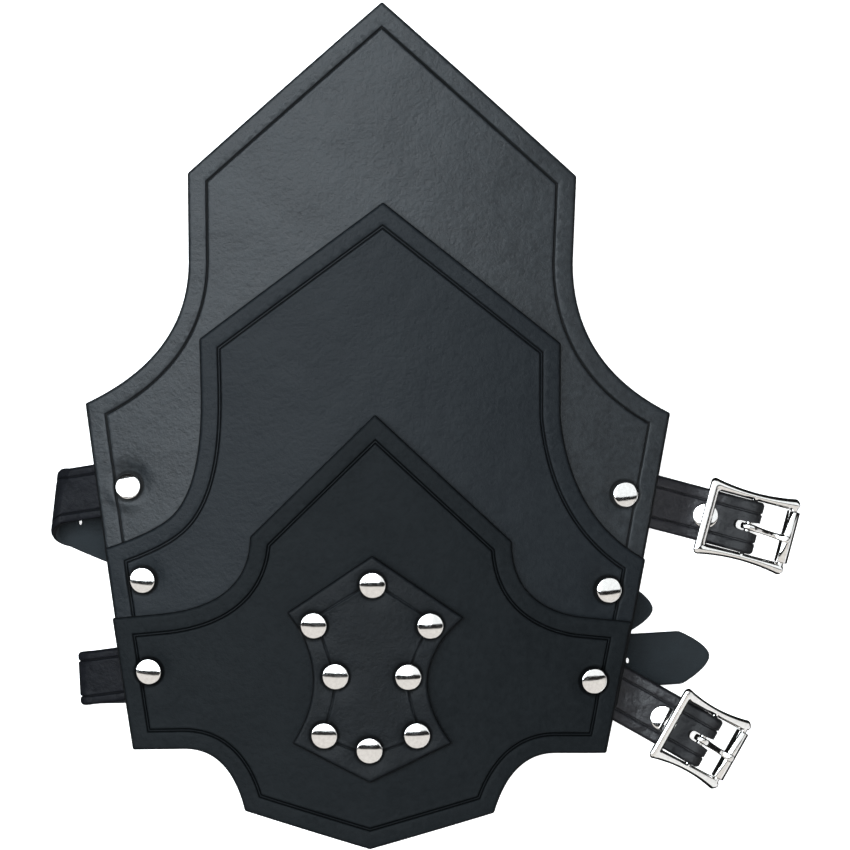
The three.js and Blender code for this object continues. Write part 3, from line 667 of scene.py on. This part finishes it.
def form(pattern, place, painted_shadow=lambda point: 0.0):
    """Bends a flat pattern into its shape. Place(point, side, height) gives a point on the top
    (side 1) or bottom (side -1) face. Faces get material 0 on top, 1 below and 2 on the cut, and
    each point an amount of painted shade: more the deeper it lies in a recess, and where
    painted_shadow paints the shadow of something over it."""
    points, heights, faces = pattern.triangles()
    used = sorted({k for face in faces for k in face})
    bm = bmesh.new()
    painted_shade = bm.verts.layers.float.new("painted_shade")
    tops = {k: bm.verts.new(place(points[k], 1, heights[k][0])) for k in used}
    bottoms = {k: bm.verts.new(place(points[k], -1, heights[k][1])) for k in used}
    for level, verts in enumerate((tops, bottoms)):
        for k, vert in verts.items():
            # Painted shade: a point is painted darker the deeper it lies below its face.
            deep = smooth((-heights[k][level] - PAINTED_SHADE_DEPTH) / PAINTED_SHADE_DEPTH)
            vert[painted_shade] = max(deep, painted_shadow(points[k]))
    edges = {(face[i], face[(i + 1) % len(face)]) for face in faces for i in range(len(face))}
    rim = {a: b for a, b in edges if (b, a) not in edges}
    back = {b: a for a, b in rim.items()}
    middles = {}
    for k in rim:
        along = (points[rim[k]] - points[back[k]]).normalized()
        out = points[k] + Vector((along.y, -along.x)) * WALL_BULGE
        middles[k] = bm.verts.new((place(out, 1, 0) + place(out, -1, 0)) / 2)
    for face in faces:
        bm.faces.new([tops[k] for k in face])
        under = bm.faces.new([bottoms[k] for k in reversed(face)])
        under.material_index = 1
    for a, b in rim.items():
        for upper, lower in ((tops, middles), (middles, bottoms)):
            wall = bm.faces.new((upper[b], upper[a], lower[a], lower[b]))
            wall.material_index = 2
    return bm


def staggered_grid(points, step):
    """Points in staggered rows over the area of an outline."""
    low_x, high_x = min(p.x for p in points), max(p.x for p in points)
    low_y, high_y = min(p.y for p in points), max(p.y for p in points)
    rows = []
    y, odd = low_y, False
    while y < high_y:
        x = low_x + (step / 2 if odd else 0)
        while x < high_x:
            rows.append(Vector((x, y)))
            x += step
        y += step * 0.866
        odd = not odd
    return rows


# Plates

def dish(x, y, layer):
    """How far the rivets of a layer press its face down, and how far a cap that leans tips its
    seat up or down there."""
    depth, tip = 0.0, 0.0
    for _, rivet_x, rivet_y, top, _, _, (lean_x, lean_y) in PLATE_RIVETS:
        away = math.hypot(x - rivet_x, y - rivet_y)
        if top != layer or away >= DISH_REACH:
            continue
        here = np.interp(away, *zip(*DISH))
        if here < depth:
            fade = 1 - smooth((away - DISH[1][0]) / (DISH_REACH - DISH[1][0]))
            depth = here
            tip = -fade ** 2 * (math.radians(lean_x) * (x - rivet_x)
                                + math.radians(lean_y) * (y - rivet_y))
    return depth, tip


def plate(name, rows, tooling, layer, materials):
    sides = outline_sides(rows)
    holes = [circle(x, y, RIVET_HOLE_RADIUS, HOLE_SIDES)
             for _, x, y, top, bottom, *_ in PLATE_RIVETS if bottom <= layer <= top]
    pattern = Pattern(inset_loop(sides, 0.0, PLATE_STEP, CORNER_SOFTNESS), holes)
    for depth, height in EDGE_ROUNDING[1:]:
        pattern.line(inset_loop(sides, depth, PLATE_STEP, CORNER_SOFTNESS), height, height)
    line_sides, line_start = sides, 0
    if name == "badge_plate":
        line_sides, line_start = outline_sides(BADGE_LINE), tooling[0][0]
    lines = [inset_loop(line_sides, depth - line_start, PLATE_STEP, LINE_CORNER_SOFTNESS)
             for depth, _ in tooling]
    for line, (_, height) in zip(lines, tooling):
        pattern.line(line, height, 0.0)
    border = inset_loop(sides, PLATE_BORDER, PLATE_STEP, CORNER_SOFTNESS)

    def between_the_lines(points):
        return inside(points, lines[-1]) | (inside(points, border) & ~inside(points, lines[0]))

    def keeps_off(point, others, distance):
        return all(math.hypot(point.x - x, point.y - y) > distance for x, y in others)

    rivets = [(x, y) for _, x, y, top, *_ in PLATE_RIVETS if top == layer]
    grid = border + staggered_grid(border, BADGE_GRID if name == "badge_plate" else PLATE_GRID)
    pattern.scatter([point for point in grid if keeps_off(point, rivets, DISH_REACH + 1)],
                    between_the_lines)
    for i, (x, y) in enumerate(rivets):
        others = rivets[:i] + rivets[i + 1:]
        for radius, count in DISH_RINGS:
            pattern.scatter([point for point in circle(x, y, radius, count)
                             if keeps_off(point, others, radius - 0.01)], between_the_lines)
    pattern.heights = [(top + dish(point.x, point.y, layer)[0], bottom)
                       for point, (top, bottom) in zip(pattern.points, pattern.heights)]

    def place(point, side, height):
        offset = layer * LAYER_PITCH - (PLATE_THICKNESS if side < 0 else 0)
        tip = dish(point.x, point.y, layer)[1] if side > 0 else 0.0
        at, _, _, normal = on_arch(point.x, point.y, offset)
        return at + normal * (side * height + tip)

    add_leather(name, form(pattern, place), materials)


# Rivets

def skin(rings, round_trip=False):
    """A closed solid over rings of points. A ring of one point is a tip, and a round trip joins
    the last ring to the first."""
    bm = bmesh.new()
    rows = [[bm.verts.new(point) for point in ring] for ring in rings]
    for before, after in zip(rows, rows[1:] + (rows[:1] if round_trip else [])):
        count = max(len(before), len(after))
        for i in range(count):
            j = (i + 1) % count
            corners = [before[i % len(before)], before[j % len(before)],
                       after[j % len(after)], after[i % len(after)]]
            bm.faces.new(list(dict.fromkeys(corners)))
    return bm


def turned(profile, sides, matrix):
    """Rings turned from rows of (radius, height)."""
    return [[matrix @ Vector((radius * math.cos(math.tau * i / sides),
                              radius * math.sin(math.tau * i / sides), height))
             for i in range(sides if radius else 1)] for radius, height in profile]


def standing(at, normal):
    return Matrix.Translation(at) @ UP.rotation_difference(normal).to_matrix().to_4x4()


def rivet_mesh(grip, matrix, lean):
    """A double-cap rivet: a shallow cap with a rolled rim, a shank and a flatter back cap."""
    rim_radius, rim_height = RIVET_RIM[0]
    sag = RIVET_CROWN - rim_height
    sphere = (rim_radius ** 2 + sag ** 2) / (2 * sag)
    profile = [(0, RIVET_CROWN)]
    for t in steps(14)[1:-1]:
        angle = t * math.asin(rim_radius / sphere)
        profile.append((sphere * math.sin(angle), RIVET_CROWN - sphere * (1 - math.cos(angle))))
    profile += [*RIVET_RIM, (RIVET_SHANK_RADIUS, RIVET_RIM[-1][1])]
    profile += [(radius, -grip - depth) for radius, depth in RIVET_BACK]
    bm = skin(turned(profile, RIVET_SIDES, Matrix.Identity(4)))
    askew = Matrix.Rotation(math.radians(lean[0]), 4, "Y") @ \
        Matrix.Rotation(-math.radians(lean[1]), 4, "X")
    cap = [vert for vert in bm.verts if vert.co.z > -1]
    bmesh.ops.transform(bm, matrix=askew, verts=cap)
    bmesh.ops.transform(bm, matrix=matrix, verts=bm.verts)
    return bm


def rivet_place(name):
    """Where a plate rivet is in plan."""
    return next(Vector((x, y, 0)) for label, x, y, *_ in PLATE_RIVETS if label == name)


def plate_rivet(name, x, y, top, bottom, under, lean):
    at, _, _, normal = on_arch(x, y, top * LAYER_PITCH)
    grip = (top - bottom) * LAYER_PITCH + PLATE_THICKNESS + (GAP + under if under else 0)
    add_metal(name, "_cap", rivet_mesh(grip, standing(at, normal), lean))


# Straps and chapes

def under_plate(start, direction, reach, count, thickness, across):
    """Stations of a band that lies against the underside of the main plate. The first
    RIVET_STATION of them lie behind its rivet, the others lead from there to its reach."""
    from_rivet = [RIVET_END_MARGIN * (t - 1) for t in steps(RIVET_STATION)[:-1]]
    from_rivet += [reach * t for t in steps(count)]
    rows = []
    for distance in from_rivet:
        plan = start + direction * distance
        at, slope_x, slope_y, _ = on_arch(plan.x, plan.y, -PLATE_THICKNESS - GAP - thickness / 2)
        rows.append((at, across + UP * (slope_x * across.x + slope_y * across.y)))
    return rows


def band_place(stations, thickness):
    """Takes a flat band to its stations. Returns how far along each station is, and the place."""
    ats = [at for at, _ in stations]
    lengths = distances(ats)
    last = len(ats) - 1
    sides, faces = [], []
    for i, (_, across) in enumerate(stations):
        along = (ats[min(i + 1, last)] - ats[max(i - 1, 0)]).normalized()
        side = across.normalized()
        face = along.cross(side)
        sides.append(side / face.length)
        faces.append(face.normalized())

    def place(point, side, height):
        k = stretch_at(lengths, point.x)
        t = (point.x - lengths[k]) / (lengths[k + 1] - lengths[k])
        at = ats[k] + (ats[k + 1] - ats[k]) * t
        fade = min(1, max(0, t))
        face = faces[k].lerp(faces[k + 1], fade).normalized()
        return at + sides[k].lerp(sides[k + 1], fade) * point.y \
            + face * side * (thickness / 2 + height)

    return lengths, place


def band_pattern(sides, holes, step, creases, crease_at, crease_top):
    """The pattern of a band with its rounded edges and the creases along both of them. The
    creases run between two distances along the band, on the top or the bottom face."""
    ring = {depth: inset_loop(sides, depth, step, CORNER_SOFTNESS) for depth, _ in EDGE_ROUNDING}
    pattern = Pattern(ring[0.0], holes)
    for depth, height in EDGE_ROUNDING[1:]:
        pattern.line(ring[depth], height, height)
    start, end = creases
    for side in (-1, 1):
        for depth, height in CREASE:
            off_centre = side * (STRAP_WIDTH / 2 - crease_at - depth)
            row = evenly([Vector((start, off_centre)), Vector((end, off_centre))], step)
            top, bottom = (height, 0.0) if crease_top else (0.0, height)
            pattern.line(row, top, bottom, closed=False)
    field = inset_loop(sides, BAND_BORDER, step, CORNER_SOFTNESS)
    edge = STRAP_WIDTH / 2

    def off_the_creases(points):
        from_edge = edge - np.abs(points[:, 1])
        on_crease = (np.abs(from_edge - crease_at) < CREASE_CLEARANCE) \
            & (points[:, 0] > start - CREASE_END_CLEARANCE) \
            & (points[:, 0] < end + CREASE_END_CLEARANCE)
        return inside(points, field) & ~on_crease

    between, beside = edge - crease_at - 0.9, edge - crease_at / 2 - 0.6
    columns = [between * i / 3 for i in range(4)] + [beside]
    length = max(p.x for p in ring[0.0])
    loose = [Vector((x, sign * y)) for x in np.arange(0.7, length, step)
             for y in columns for sign in ((1, -1) if y else (1,))]
    pattern.scatter(loose, off_the_creases)
    return pattern


def strap(name, rivet, out, fold, back, reach, drop, tip, tip_heading, handle, materials):
    """A long strap: riveted under the plate's left edge, folded under and back across the table
    to its pointed end. Its top face is the flesh side."""
    fold_line, outward = heading(fold), heading(fold + 90)
    leg = under_plate(rivet_place(rivet), heading(out), reach, 24, STRAP_THICKNESS, fold_line)
    top = leg[-1][0]

    # The bend runs round a level fold line and slides along it
    _, slope_x, slope_y, _ = on_arch(top.x, top.y, 0)
    dip = math.atan(-(slope_x * outward.x + slope_y * outward.y))
    radius = (top.z - STRAP_THICKNESS / 2) / (1 + math.cos(dip))
    centre = top.dot(outward) - radius * math.sin(dip)
    turn = math.pi - dip
    slide = top.dot(fold_line)
    slide_out = -radius * turn * math.tan(math.radians(out - fold - 90))
    slide_back = radius * turn * math.tan(math.radians(back - fold + 90))
    bend = []
    for t in steps(36)[1:]:
        angle = dip + turn * t
        along = hermite(t, slide, slide_out, slide - drop, slide_back)
        bend.append((fold_line * along + outward * (centre + radius * math.sin(angle))
                     + UP * (radius + STRAP_THICKNESS / 2 + radius * math.cos(angle)), fold_line))

    # The stretch on the table
    start, end = bend[-1][0], Vector((*tip, STRAP_THICKNESS / 2))
    pulls = [start, start + heading(back) * handle, end - heading(tip_heading) * handle, end]
    curve = [sum((p * w * (1 - t) ** (3 - i) * t ** i
                  for i, (p, w) in enumerate(zip(pulls, (1, 3, 3, 1)))), Vector((0, 0, 0)))
             for t in steps(400)]
    curve = evenly(curve, FLAT_STEP)
    flat = []
    for i, at in enumerate(curve[1:], start=1):
        along = (curve[min(i + 1, len(curve) - 1)] - curve[i - 1]).normalized()
        square = UP.cross(along)
        flat.append((at, fold_line.lerp(square, smooth(i * FLAT_STEP / STRAP_SETTLE))))

    lengths, place = band_place(leg + bend + flat, STRAP_THICKNESS)
    length = lengths[-1]
    half = STRAP_WIDTH / 2
    body_end = length - NOSE_LENGTH
    nose = [Vector((length - NOSE_LENGTH * q, half * q ** NOSE_POWER)) for q in NOSE_PARTS]
    long_side = [Vector((0, half)), Vector((body_end, half))] + nose + \
        [Vector((length, 0))] + [Vector((p.x, -p.y)) for p in reversed(nose)] + \
        [Vector((body_end, -half)), Vector((0, -half))]
    sides = [evenly(long_side, BAND_END_STEP),
             evenly([Vector((0, -half)), Vector((0, half))], BAND_END_STEP)]
    along_half, across_half = STRAP_HOLE_HALF
    holes = [[Vector((length - FIRST_HOLE - i * HOLE_PITCH + point.x * along_half,
                      point.y * across_half)) for point in circle(0, 0, 1, STRAP_HOLE_SIDES)]
             for i in range(STRAP_HOLES)]
    holes.append(circle(lengths[RIVET_STATION], 0, RIVET_HOLE_RADIUS, HOLE_SIDES))
    creases = (CREASE_START, body_end - CREASE_TO_NOSE)
    pattern = band_pattern(sides, holes, STRAP_STEP, creases, STRAP_CREASE_AT, False)
    add_leather(name, form(pattern, place), materials)


def chape_frame(side, rivet, heading_degrees, reach, tilt):
    """Places that a chape, its rivet and its buckle share."""
    along = heading(heading_degrees)
    start = rivet_place(rivet)
    lean = math.radians(tilt)
    bar_z = ROLLER_CLEARANCE + ROLLER_RADIUS + FAR_BAR * math.sin(lean)

    def plan(distance, z):
        return start + along * distance + UP * z

    across = heading(heading_degrees + 90)
    far = along * math.cos(lean) - UP * math.sin(lean)
    axes = Matrix((far, across, far.cross(across))).transposed().to_4x4()
    return dict(along=along, start=start, bar_z=bar_z, plan=plan, across=across,
                rivet_at=reach - CHAPE_RIVET_TO_BAR, mid_z=bar_z - CHAPE_SAG,
                buckle=Matrix.Translation(plan(reach, bar_z)) @ axes)


def chape(side, reach, edge, shared, materials):
    """A short band: riveted under the plate's right edge, folded round the buckle's centre bar
    and riveted to itself, with a slot for the tongue."""
    plan, across = shared["plan"], shared["across"]
    bar_z, mid_z, rivet_at = shared["bar_z"], shared["mid_z"], shared["rivet_at"]
    layer = (GAP + CHAPE_THICKNESS) / 2
    stations = under_plate(shared["start"], shared["along"], edge, 14, CHAPE_THICKNESS, across)
    leave, leave_side = stations[-1]
    slope = (leave.z - stations[-2][0].z) / (edge / 14)
    fall = rivet_at - CHAPE_FLAT - edge
    for t in steps(20)[1:]:
        z = hermite(t, leave.z, slope * fall, mid_z + layer, 0)
        stations.append((plan(edge + fall * t, z), leave_side.lerp(across, t)))
    stations += [(plan(rivet_at + x, mid_z + layer), across) for x in (-3, -2, -1)]
    upper_rivet_at = len(stations)
    stations += [(plan(rivet_at + x, mid_z + layer), across) for x in (0, 1, 2, 3)]
    rise = CHAPE_RIVET_TO_BAR - CHAPE_FLAT

    def level(t, sign):
        z = hermite(t, mid_z + sign * layer, 0, bar_z + sign * FOLD_RADIUS, 0)
        return plan(rivet_at + CHAPE_FLAT + rise * t, z), across

    stations += [level(t, 1) for t in steps(16)]
    fold = 24
    bar_at = len(stations) - 1 + fold // 2
    for t in steps(fold)[1:-1]:
        stations.append((plan(reach + FOLD_RADIUS * math.sin(math.pi * t),
                              bar_z + FOLD_RADIUS * math.cos(math.pi * t)), across))
    stations += [level(1 - t, -1) for t in steps(16)]
    stations += [(plan(rivet_at + x, mid_z - layer), across) for x in (3, 2, 1)]
    lower_rivet_at = len(stations)
    stations += [(plan(rivet_at - x, mid_z - layer), across) for x in range(CHAPE_TAIL + 1)]

    lengths, place = band_place(stations, CHAPE_THICKNESS)
    length = lengths[-1]
    half = STRAP_WIDTH / 2
    corners = [Vector((0, half)), Vector((length, half)), Vector((length, -half)),
               Vector((0, -half))]
    sides = [evenly([a, b], CHAPE_STEP) for a, b in zip(corners, corners[1:] + corners[:1])]
    slot = [Vector((lengths[bar_at] + x, sign * y)) for sign, rows in ((-1, SLOT), (1, SLOT[::-1]))
            for x, y in rows[:-1]]
    slot = evenly(slot + slot[:1], SLOT_STEP)[:-1]
    holes = [slot] + [circle(lengths[k], 0, RIVET_HOLE_RADIUS, HOLE_SIDES)
                      for k in (RIVET_STATION, upper_rivet_at, lower_rivet_at)]
    creases = (CREASE_START, length - CREASE_START)
    pattern = band_pattern(sides, holes, CHAPE_STEP, creases, CHAPE_CREASE_AT, True)
    shadow_from, shadow_to = lengths[upper_rivet_at] + CHAPE_FLAT, lengths[bar_at + fold]

    def painted_shadow(point):
        """Painted shadow of the buckle frame and tongue, dark where the chape bends round the bar
        under them.
        """
        return CHAPE_PAINTED_SHADOW * smooth((point.x - shadow_from) / PAINTED_SHADOW_FADE) \
            * smooth((shadow_to - point.x) / PAINTED_SHADOW_FADE)

    add_leather("chape_" + side, form(pattern, place, painted_shadow), materials)


# Buckles

def loft(sections):
    """A closed solid through sections, closed by a fan at both ends."""
    tips = [[sum(section, Vector((0, 0, 0))) / len(section)]
            for section in (sections[0], sections[-1])]
    return skin(tips[:1] + sections + tips[1:])


def rounded_section(centre, half_width, half_height, fullness, count=24):
    """A rounded box section round a centre, spanned by two vectors."""
    ring = []
    for i in range(count):
        angle = math.tau * i / count
        c, s = math.cos(angle), math.sin(angle)
        ring.append(centre
                    + half_width * math.copysign(abs(c) ** (2 / fullness), c)
                    + half_height * math.copysign(abs(s) ** (2 / fullness), s))
    return ring


def frame_pairs():
    """Outer and inner points along one half of the buckle frame, from the roller end of its arm
    to the middle of the near bar."""
    start, end = -NEAR_EDGE + FRAME_CORNER, FRAME_END - FRAME_CORNER
    waist = 4 * (FRAME_HALF_END - FRAME_HALF_WAIST)

    def outer_y(x):
        t = (x - start) / (end - start)
        return FRAME_HALF_END - waist * t * (1 - t)

    pairs = []
    bulge = (FRAME_HALF_END - WINDOW_HALF) / 2
    middle = WINDOW_HALF + bulge
    for angle in (88, 80, 70, 58, 45, 30, 15):
        x = FRAME_END - bulge + bulge * math.sin(math.radians(angle))
        width = bulge * math.cos(math.radians(angle))
        pairs.append(((x, middle + width), (x, middle - width)))
    window_start = -NEAR_EDGE + NEAR_BAR + WINDOW_CORNER
    for t in steps(26):
        outer_x = FRAME_END - bulge + (start - FRAME_END + bulge) * t
        inner_x = FRAME_END - bulge + (window_start - FRAME_END + bulge) * t
        pairs.append(((outer_x, min(outer_y(outer_x), FRAME_HALF_END)), (inner_x, WINDOW_HALF)))
    for angle in (15, 30, 45, 60, 75, 90):
        c, s = math.cos(math.radians(angle)), math.sin(math.radians(angle))
        pairs.append(((start - FRAME_CORNER * s, FRAME_HALF_END - FRAME_CORNER * (1 - c)),
                      (window_start - WINDOW_CORNER * s, WINDOW_HALF - WINDOW_CORNER * (1 - c))))
    for t in steps(8)[1:]:
        pairs.append(((-NEAR_EDGE, (FRAME_HALF_END - FRAME_CORNER) * (1 - t)),
                      (-NEAR_EDGE + NEAR_BAR, (WINDOW_HALF - WINDOW_CORNER) * (1 - t))))
    return pairs


def buckle_frame(side, matrix):
    half = frame_pairs()
    pairs = half + [((a[0], -a[1]), (b[0], -b[1])) for a, b in reversed(half[:-1])]
    sections = []
    for outer, inner in pairs:
        outer, inner = Vector((*outer, 0)), Vector((*inner, 0))
        reach = (outer - inner) / 2
        height = FRAME_HALF_THICKNESS * min(1, (reach.length / FRAME_THIN_FROM)) ** 0.5
        sections.append(rounded_section((outer + inner) / 2, reach, UP * height, FRAME_FULLNESS))
    bodies = [loft(sections)]
    lie = Matrix.Rotation(math.pi / 2, 4, "X")
    for x, radius in ((0, CENTRE_BAR_RADIUS), (FAR_BAR, FAR_BAR_RADIUS)):
        reach = (WINDOW_HALF + FRAME_HALF_WAIST) / 2
        profile = [(0, -reach), (radius, -reach), (radius, reach), (0, reach)]
        bodies.append(skin(turned(profile, BAR_SIDES, Matrix.Translation((x, 0, 0)) @ lie)))
    joined = joined_solid(bodies)
    bmesh.ops.transform(joined, matrix=matrix, verts=joined.verts)
    add_metal("buckle_frame_" + side, "_cast", joined, "buckle_" + side, 55)


def joined_solid(bodies):
    """One closed solid from several that run into each other."""
    objects = []
    for bm in bodies:
        bmesh.ops.recalc_face_normals(bm, faces=bm.faces)
        objects.append(put_in_scene("part", mesh_from("part", bm)))
    for tool in objects[1:]:
        join = objects[0].modifiers.new("join", "BOOLEAN")
        join.operation = "UNION"
        join.solver = "EXACT"
        join.object = tool
    whole = objects[0].evaluated_get(bpy.context.evaluated_depsgraph_get())
    result = bmesh.new()
    result.from_mesh(whole.to_mesh())
    whole.to_mesh_clear()
    for item in objects:
        mesh = item.data
        bpy.data.objects.remove(item)
        bpy.data.meshes.remove(mesh)
    return result


def roller(side, matrix):
    """A rolled tube with turned-over ends that spins on the far bar."""
    half = WINDOW_HALF - GAP
    rows = [(ROLLER_BORE, half - 0.25), (ROLLER_BORE + 0.2, half), (TUBE_RADIUS - 0.3, half),
            (TUBE_RADIUS - 0.12, half - 0.08), (TUBE_RADIUS, half - 0.3)]
    profile = rows + [(radius, -along) for radius, along in reversed(rows)]
    lie = matrix @ Matrix.Translation((FAR_BAR, 0, 0)) @ Matrix.Rotation(math.pi / 2, 4, "X")
    tube = skin(turned(profile, ROLLER_SIDES, lie), round_trip=True)
    add_metal("buckle_roller_" + side, "_tube", tube, "roller_" + side, 50)


def tongue(side, matrix):
    """A tongue bent from flattened wire: a loop round the centre bar, and an arm that dips into
    the frame and spreads into a rounded tip on the roller."""
    eye = CENTRE_BAR_RADIUS + GAP + TONGUE_THICKNESS / 2
    path = []
    for i in range(30):
        angle = math.radians(TONGUE_EYE_START + TONGUE_EYE_SWEEP * i / 29)
        x, z = eye * math.sin(angle), eye * math.cos(angle)
        if z < 0 or x < -0.2:
            path.append((x, z, *TONGUE_EYE_SECTION))
    rows = list(zip(*TONGUE_ARM))
    for x in [TONGUE_LENGTH * t for t in steps(34)]:
        path.append((x, *(bent(x, rows[0], row) for row in rows[1:])))
    sections = []
    for i, (x, z, width, thick) in enumerate(path):
        ahead, behind = path[min(i + 1, len(path) - 1)], path[max(i - 1, 0)]
        along = Vector((ahead[0] - behind[0], 0, ahead[1] - behind[1])).normalized()
        sway = -TONGUE_SWAY * max(0, x) / TONGUE_LENGTH
        sections.append(rounded_section(Vector((x, sway, z)), Vector((0, width, 0)),
                                        along.cross(Vector((0, 1, 0))) * thick,
                                        TONGUE_FULLNESS, 20))
    wire = loft(sections)
    bmesh.ops.transform(wire, matrix=matrix, verts=wire.verts)
    add_metal("buckle_tongue_" + side, "_wire", wire, "tongue_" + side)


# The whole vambrace

bpy.context.scene.view_settings.view_transform = "Standard"
NICKEL = bright_nickel("bright_nickel_plate", 0.05)
EDGE = dyed_edge("waxed_black_edge", "#08090a", "#131415")
PLATE_BACK = suede_back("plate_suede_back", "#1b1b1d", "#26272a")
STRAP_GRAIN = burnished_leather("strap_burnished_leather", "#0d0e11", "#17181c", 0.4, 0.07, 0.5)
CHAPE_GRAIN = burnished_leather("chape_burnished_leather", "#141417", "#201f23", 0.38, 0.3, 1.0)
STRAP_SUEDE = suede_back("strap_suede_back", "#1c2023", "#24292c")

for plate_layer, (plate_name, plate_rows, plate_tooling, finish_and_painted_light) in enumerate(PLATES):
    # Each plate gets its own copy of the leather, lighter or darker as painted light and shade.
    grain = burnished_leather(plate_name + "_burnished_leather", *finish_and_painted_light)
    plate(plate_name, plate_rows, plate_tooling, plate_layer, [grain, PLATE_BACK, EDGE])

for row in PLATE_RIVETS:
    plate_rivet(*row)

for row in STRAPS:
    strap(**row, materials=[STRAP_SUEDE, STRAP_GRAIN, EDGE])

for row in CHAPES:
    shared = chape_frame(row["side"], row["rivet"], row["heading"], row["reach"], row["tilt"])
    chape(row["side"], row["reach"], row["edge"], shared, [CHAPE_GRAIN, STRAP_SUEDE, EDGE])
    stack = 2 * CHAPE_THICKNESS + GAP
    cap_at = shared["plan"](shared["rivet_at"], shared["mid_z"] + stack / 2)
    add_metal("chape_rivet_" + row["side"], "_cap",
              rivet_mesh(stack, standing(cap_at, UP), CHAPE_RIVET_LEAN))
    for make in (buckle_frame, roller, tongue):
        make(row["side"], shared["buckle"])


# The table, the light and the camera

def add_stage(name, bm, material, mirrored):
    """Part of the room. What is not mirrored stays out of the metal, whose steep sides then show
    the dark of the room."""
    mesh = mesh_from(name, bm)
    mesh.materials.append(material)
    piece = put_in_scene(name, mesh)
    piece.visible_glossy = mirrored


def add_softbox(name, low, high, radiance, colour):
    """A level soft panel over the table, between two corners in plan."""
    light = bpy.data.lights.new(name, "AREA")
    light.shape = "RECTANGLE"
    light.size = high[0] - low[0]
    light.size_y = high[1] - low[1]
    light.energy = radiance * math.pi * light.size * light.size_y
    light.color = colour
    panel = put_in_scene(name, light)
    panel.location = ((low[0] + high[0]) / 2, (low[1] + high[1]) / 2, SOFTBOX_HEIGHT)
    panel.visible_camera = False


def add_camera():
    """Straight down over the vambrace, as the photo shows it."""
    camera = bpy.data.cameras.new("camera")
    camera.sensor_width = 36
    camera.lens = CAMERA_LENS
    camera.clip_end = 50
    eye = put_in_scene("camera", camera)
    eye.location = CAMERA_AT
    bpy.context.scene.camera = eye


def card_mesh(toward, distance, width, height):
    """An upright card that stands at a distance from the middle, square to a heading."""
    bm = bmesh.new()
    turn = Matrix.Rotation(math.radians(toward), 4, "Z")
    move = Matrix.Translation((distance, 0, height / 2))
    size = Matrix.Diagonal((CARD_THICKNESS, width, height, 1))
    bmesh.ops.create_cube(bm, matrix=turn @ move @ size)
    return bm


add_stage("table", skin(turned(TABLE, TABLE_SIDES, Matrix.Identity(4))),
          studio_paper("matt_white_table", "#f4f4f4", "#f8f8f8", 0.75), False)
add_stage("card", card_mesh(**CARD),
          studio_paper("matt_white_card", "#dcdcdc", "#e2e2e2", 0.3), True)
for softbox in SOFTBOXES:
    add_softbox(*softbox)
world = bpy.data.worlds.new("studio")
bpy.context.scene.world = world
world.use_nodes = True
background = world.node_tree.nodes["Background"].inputs
background["Color"].default_value = (1, 1, 1, 1)
background["Strength"].default_value = ROOM_LIGHT
add_camera()
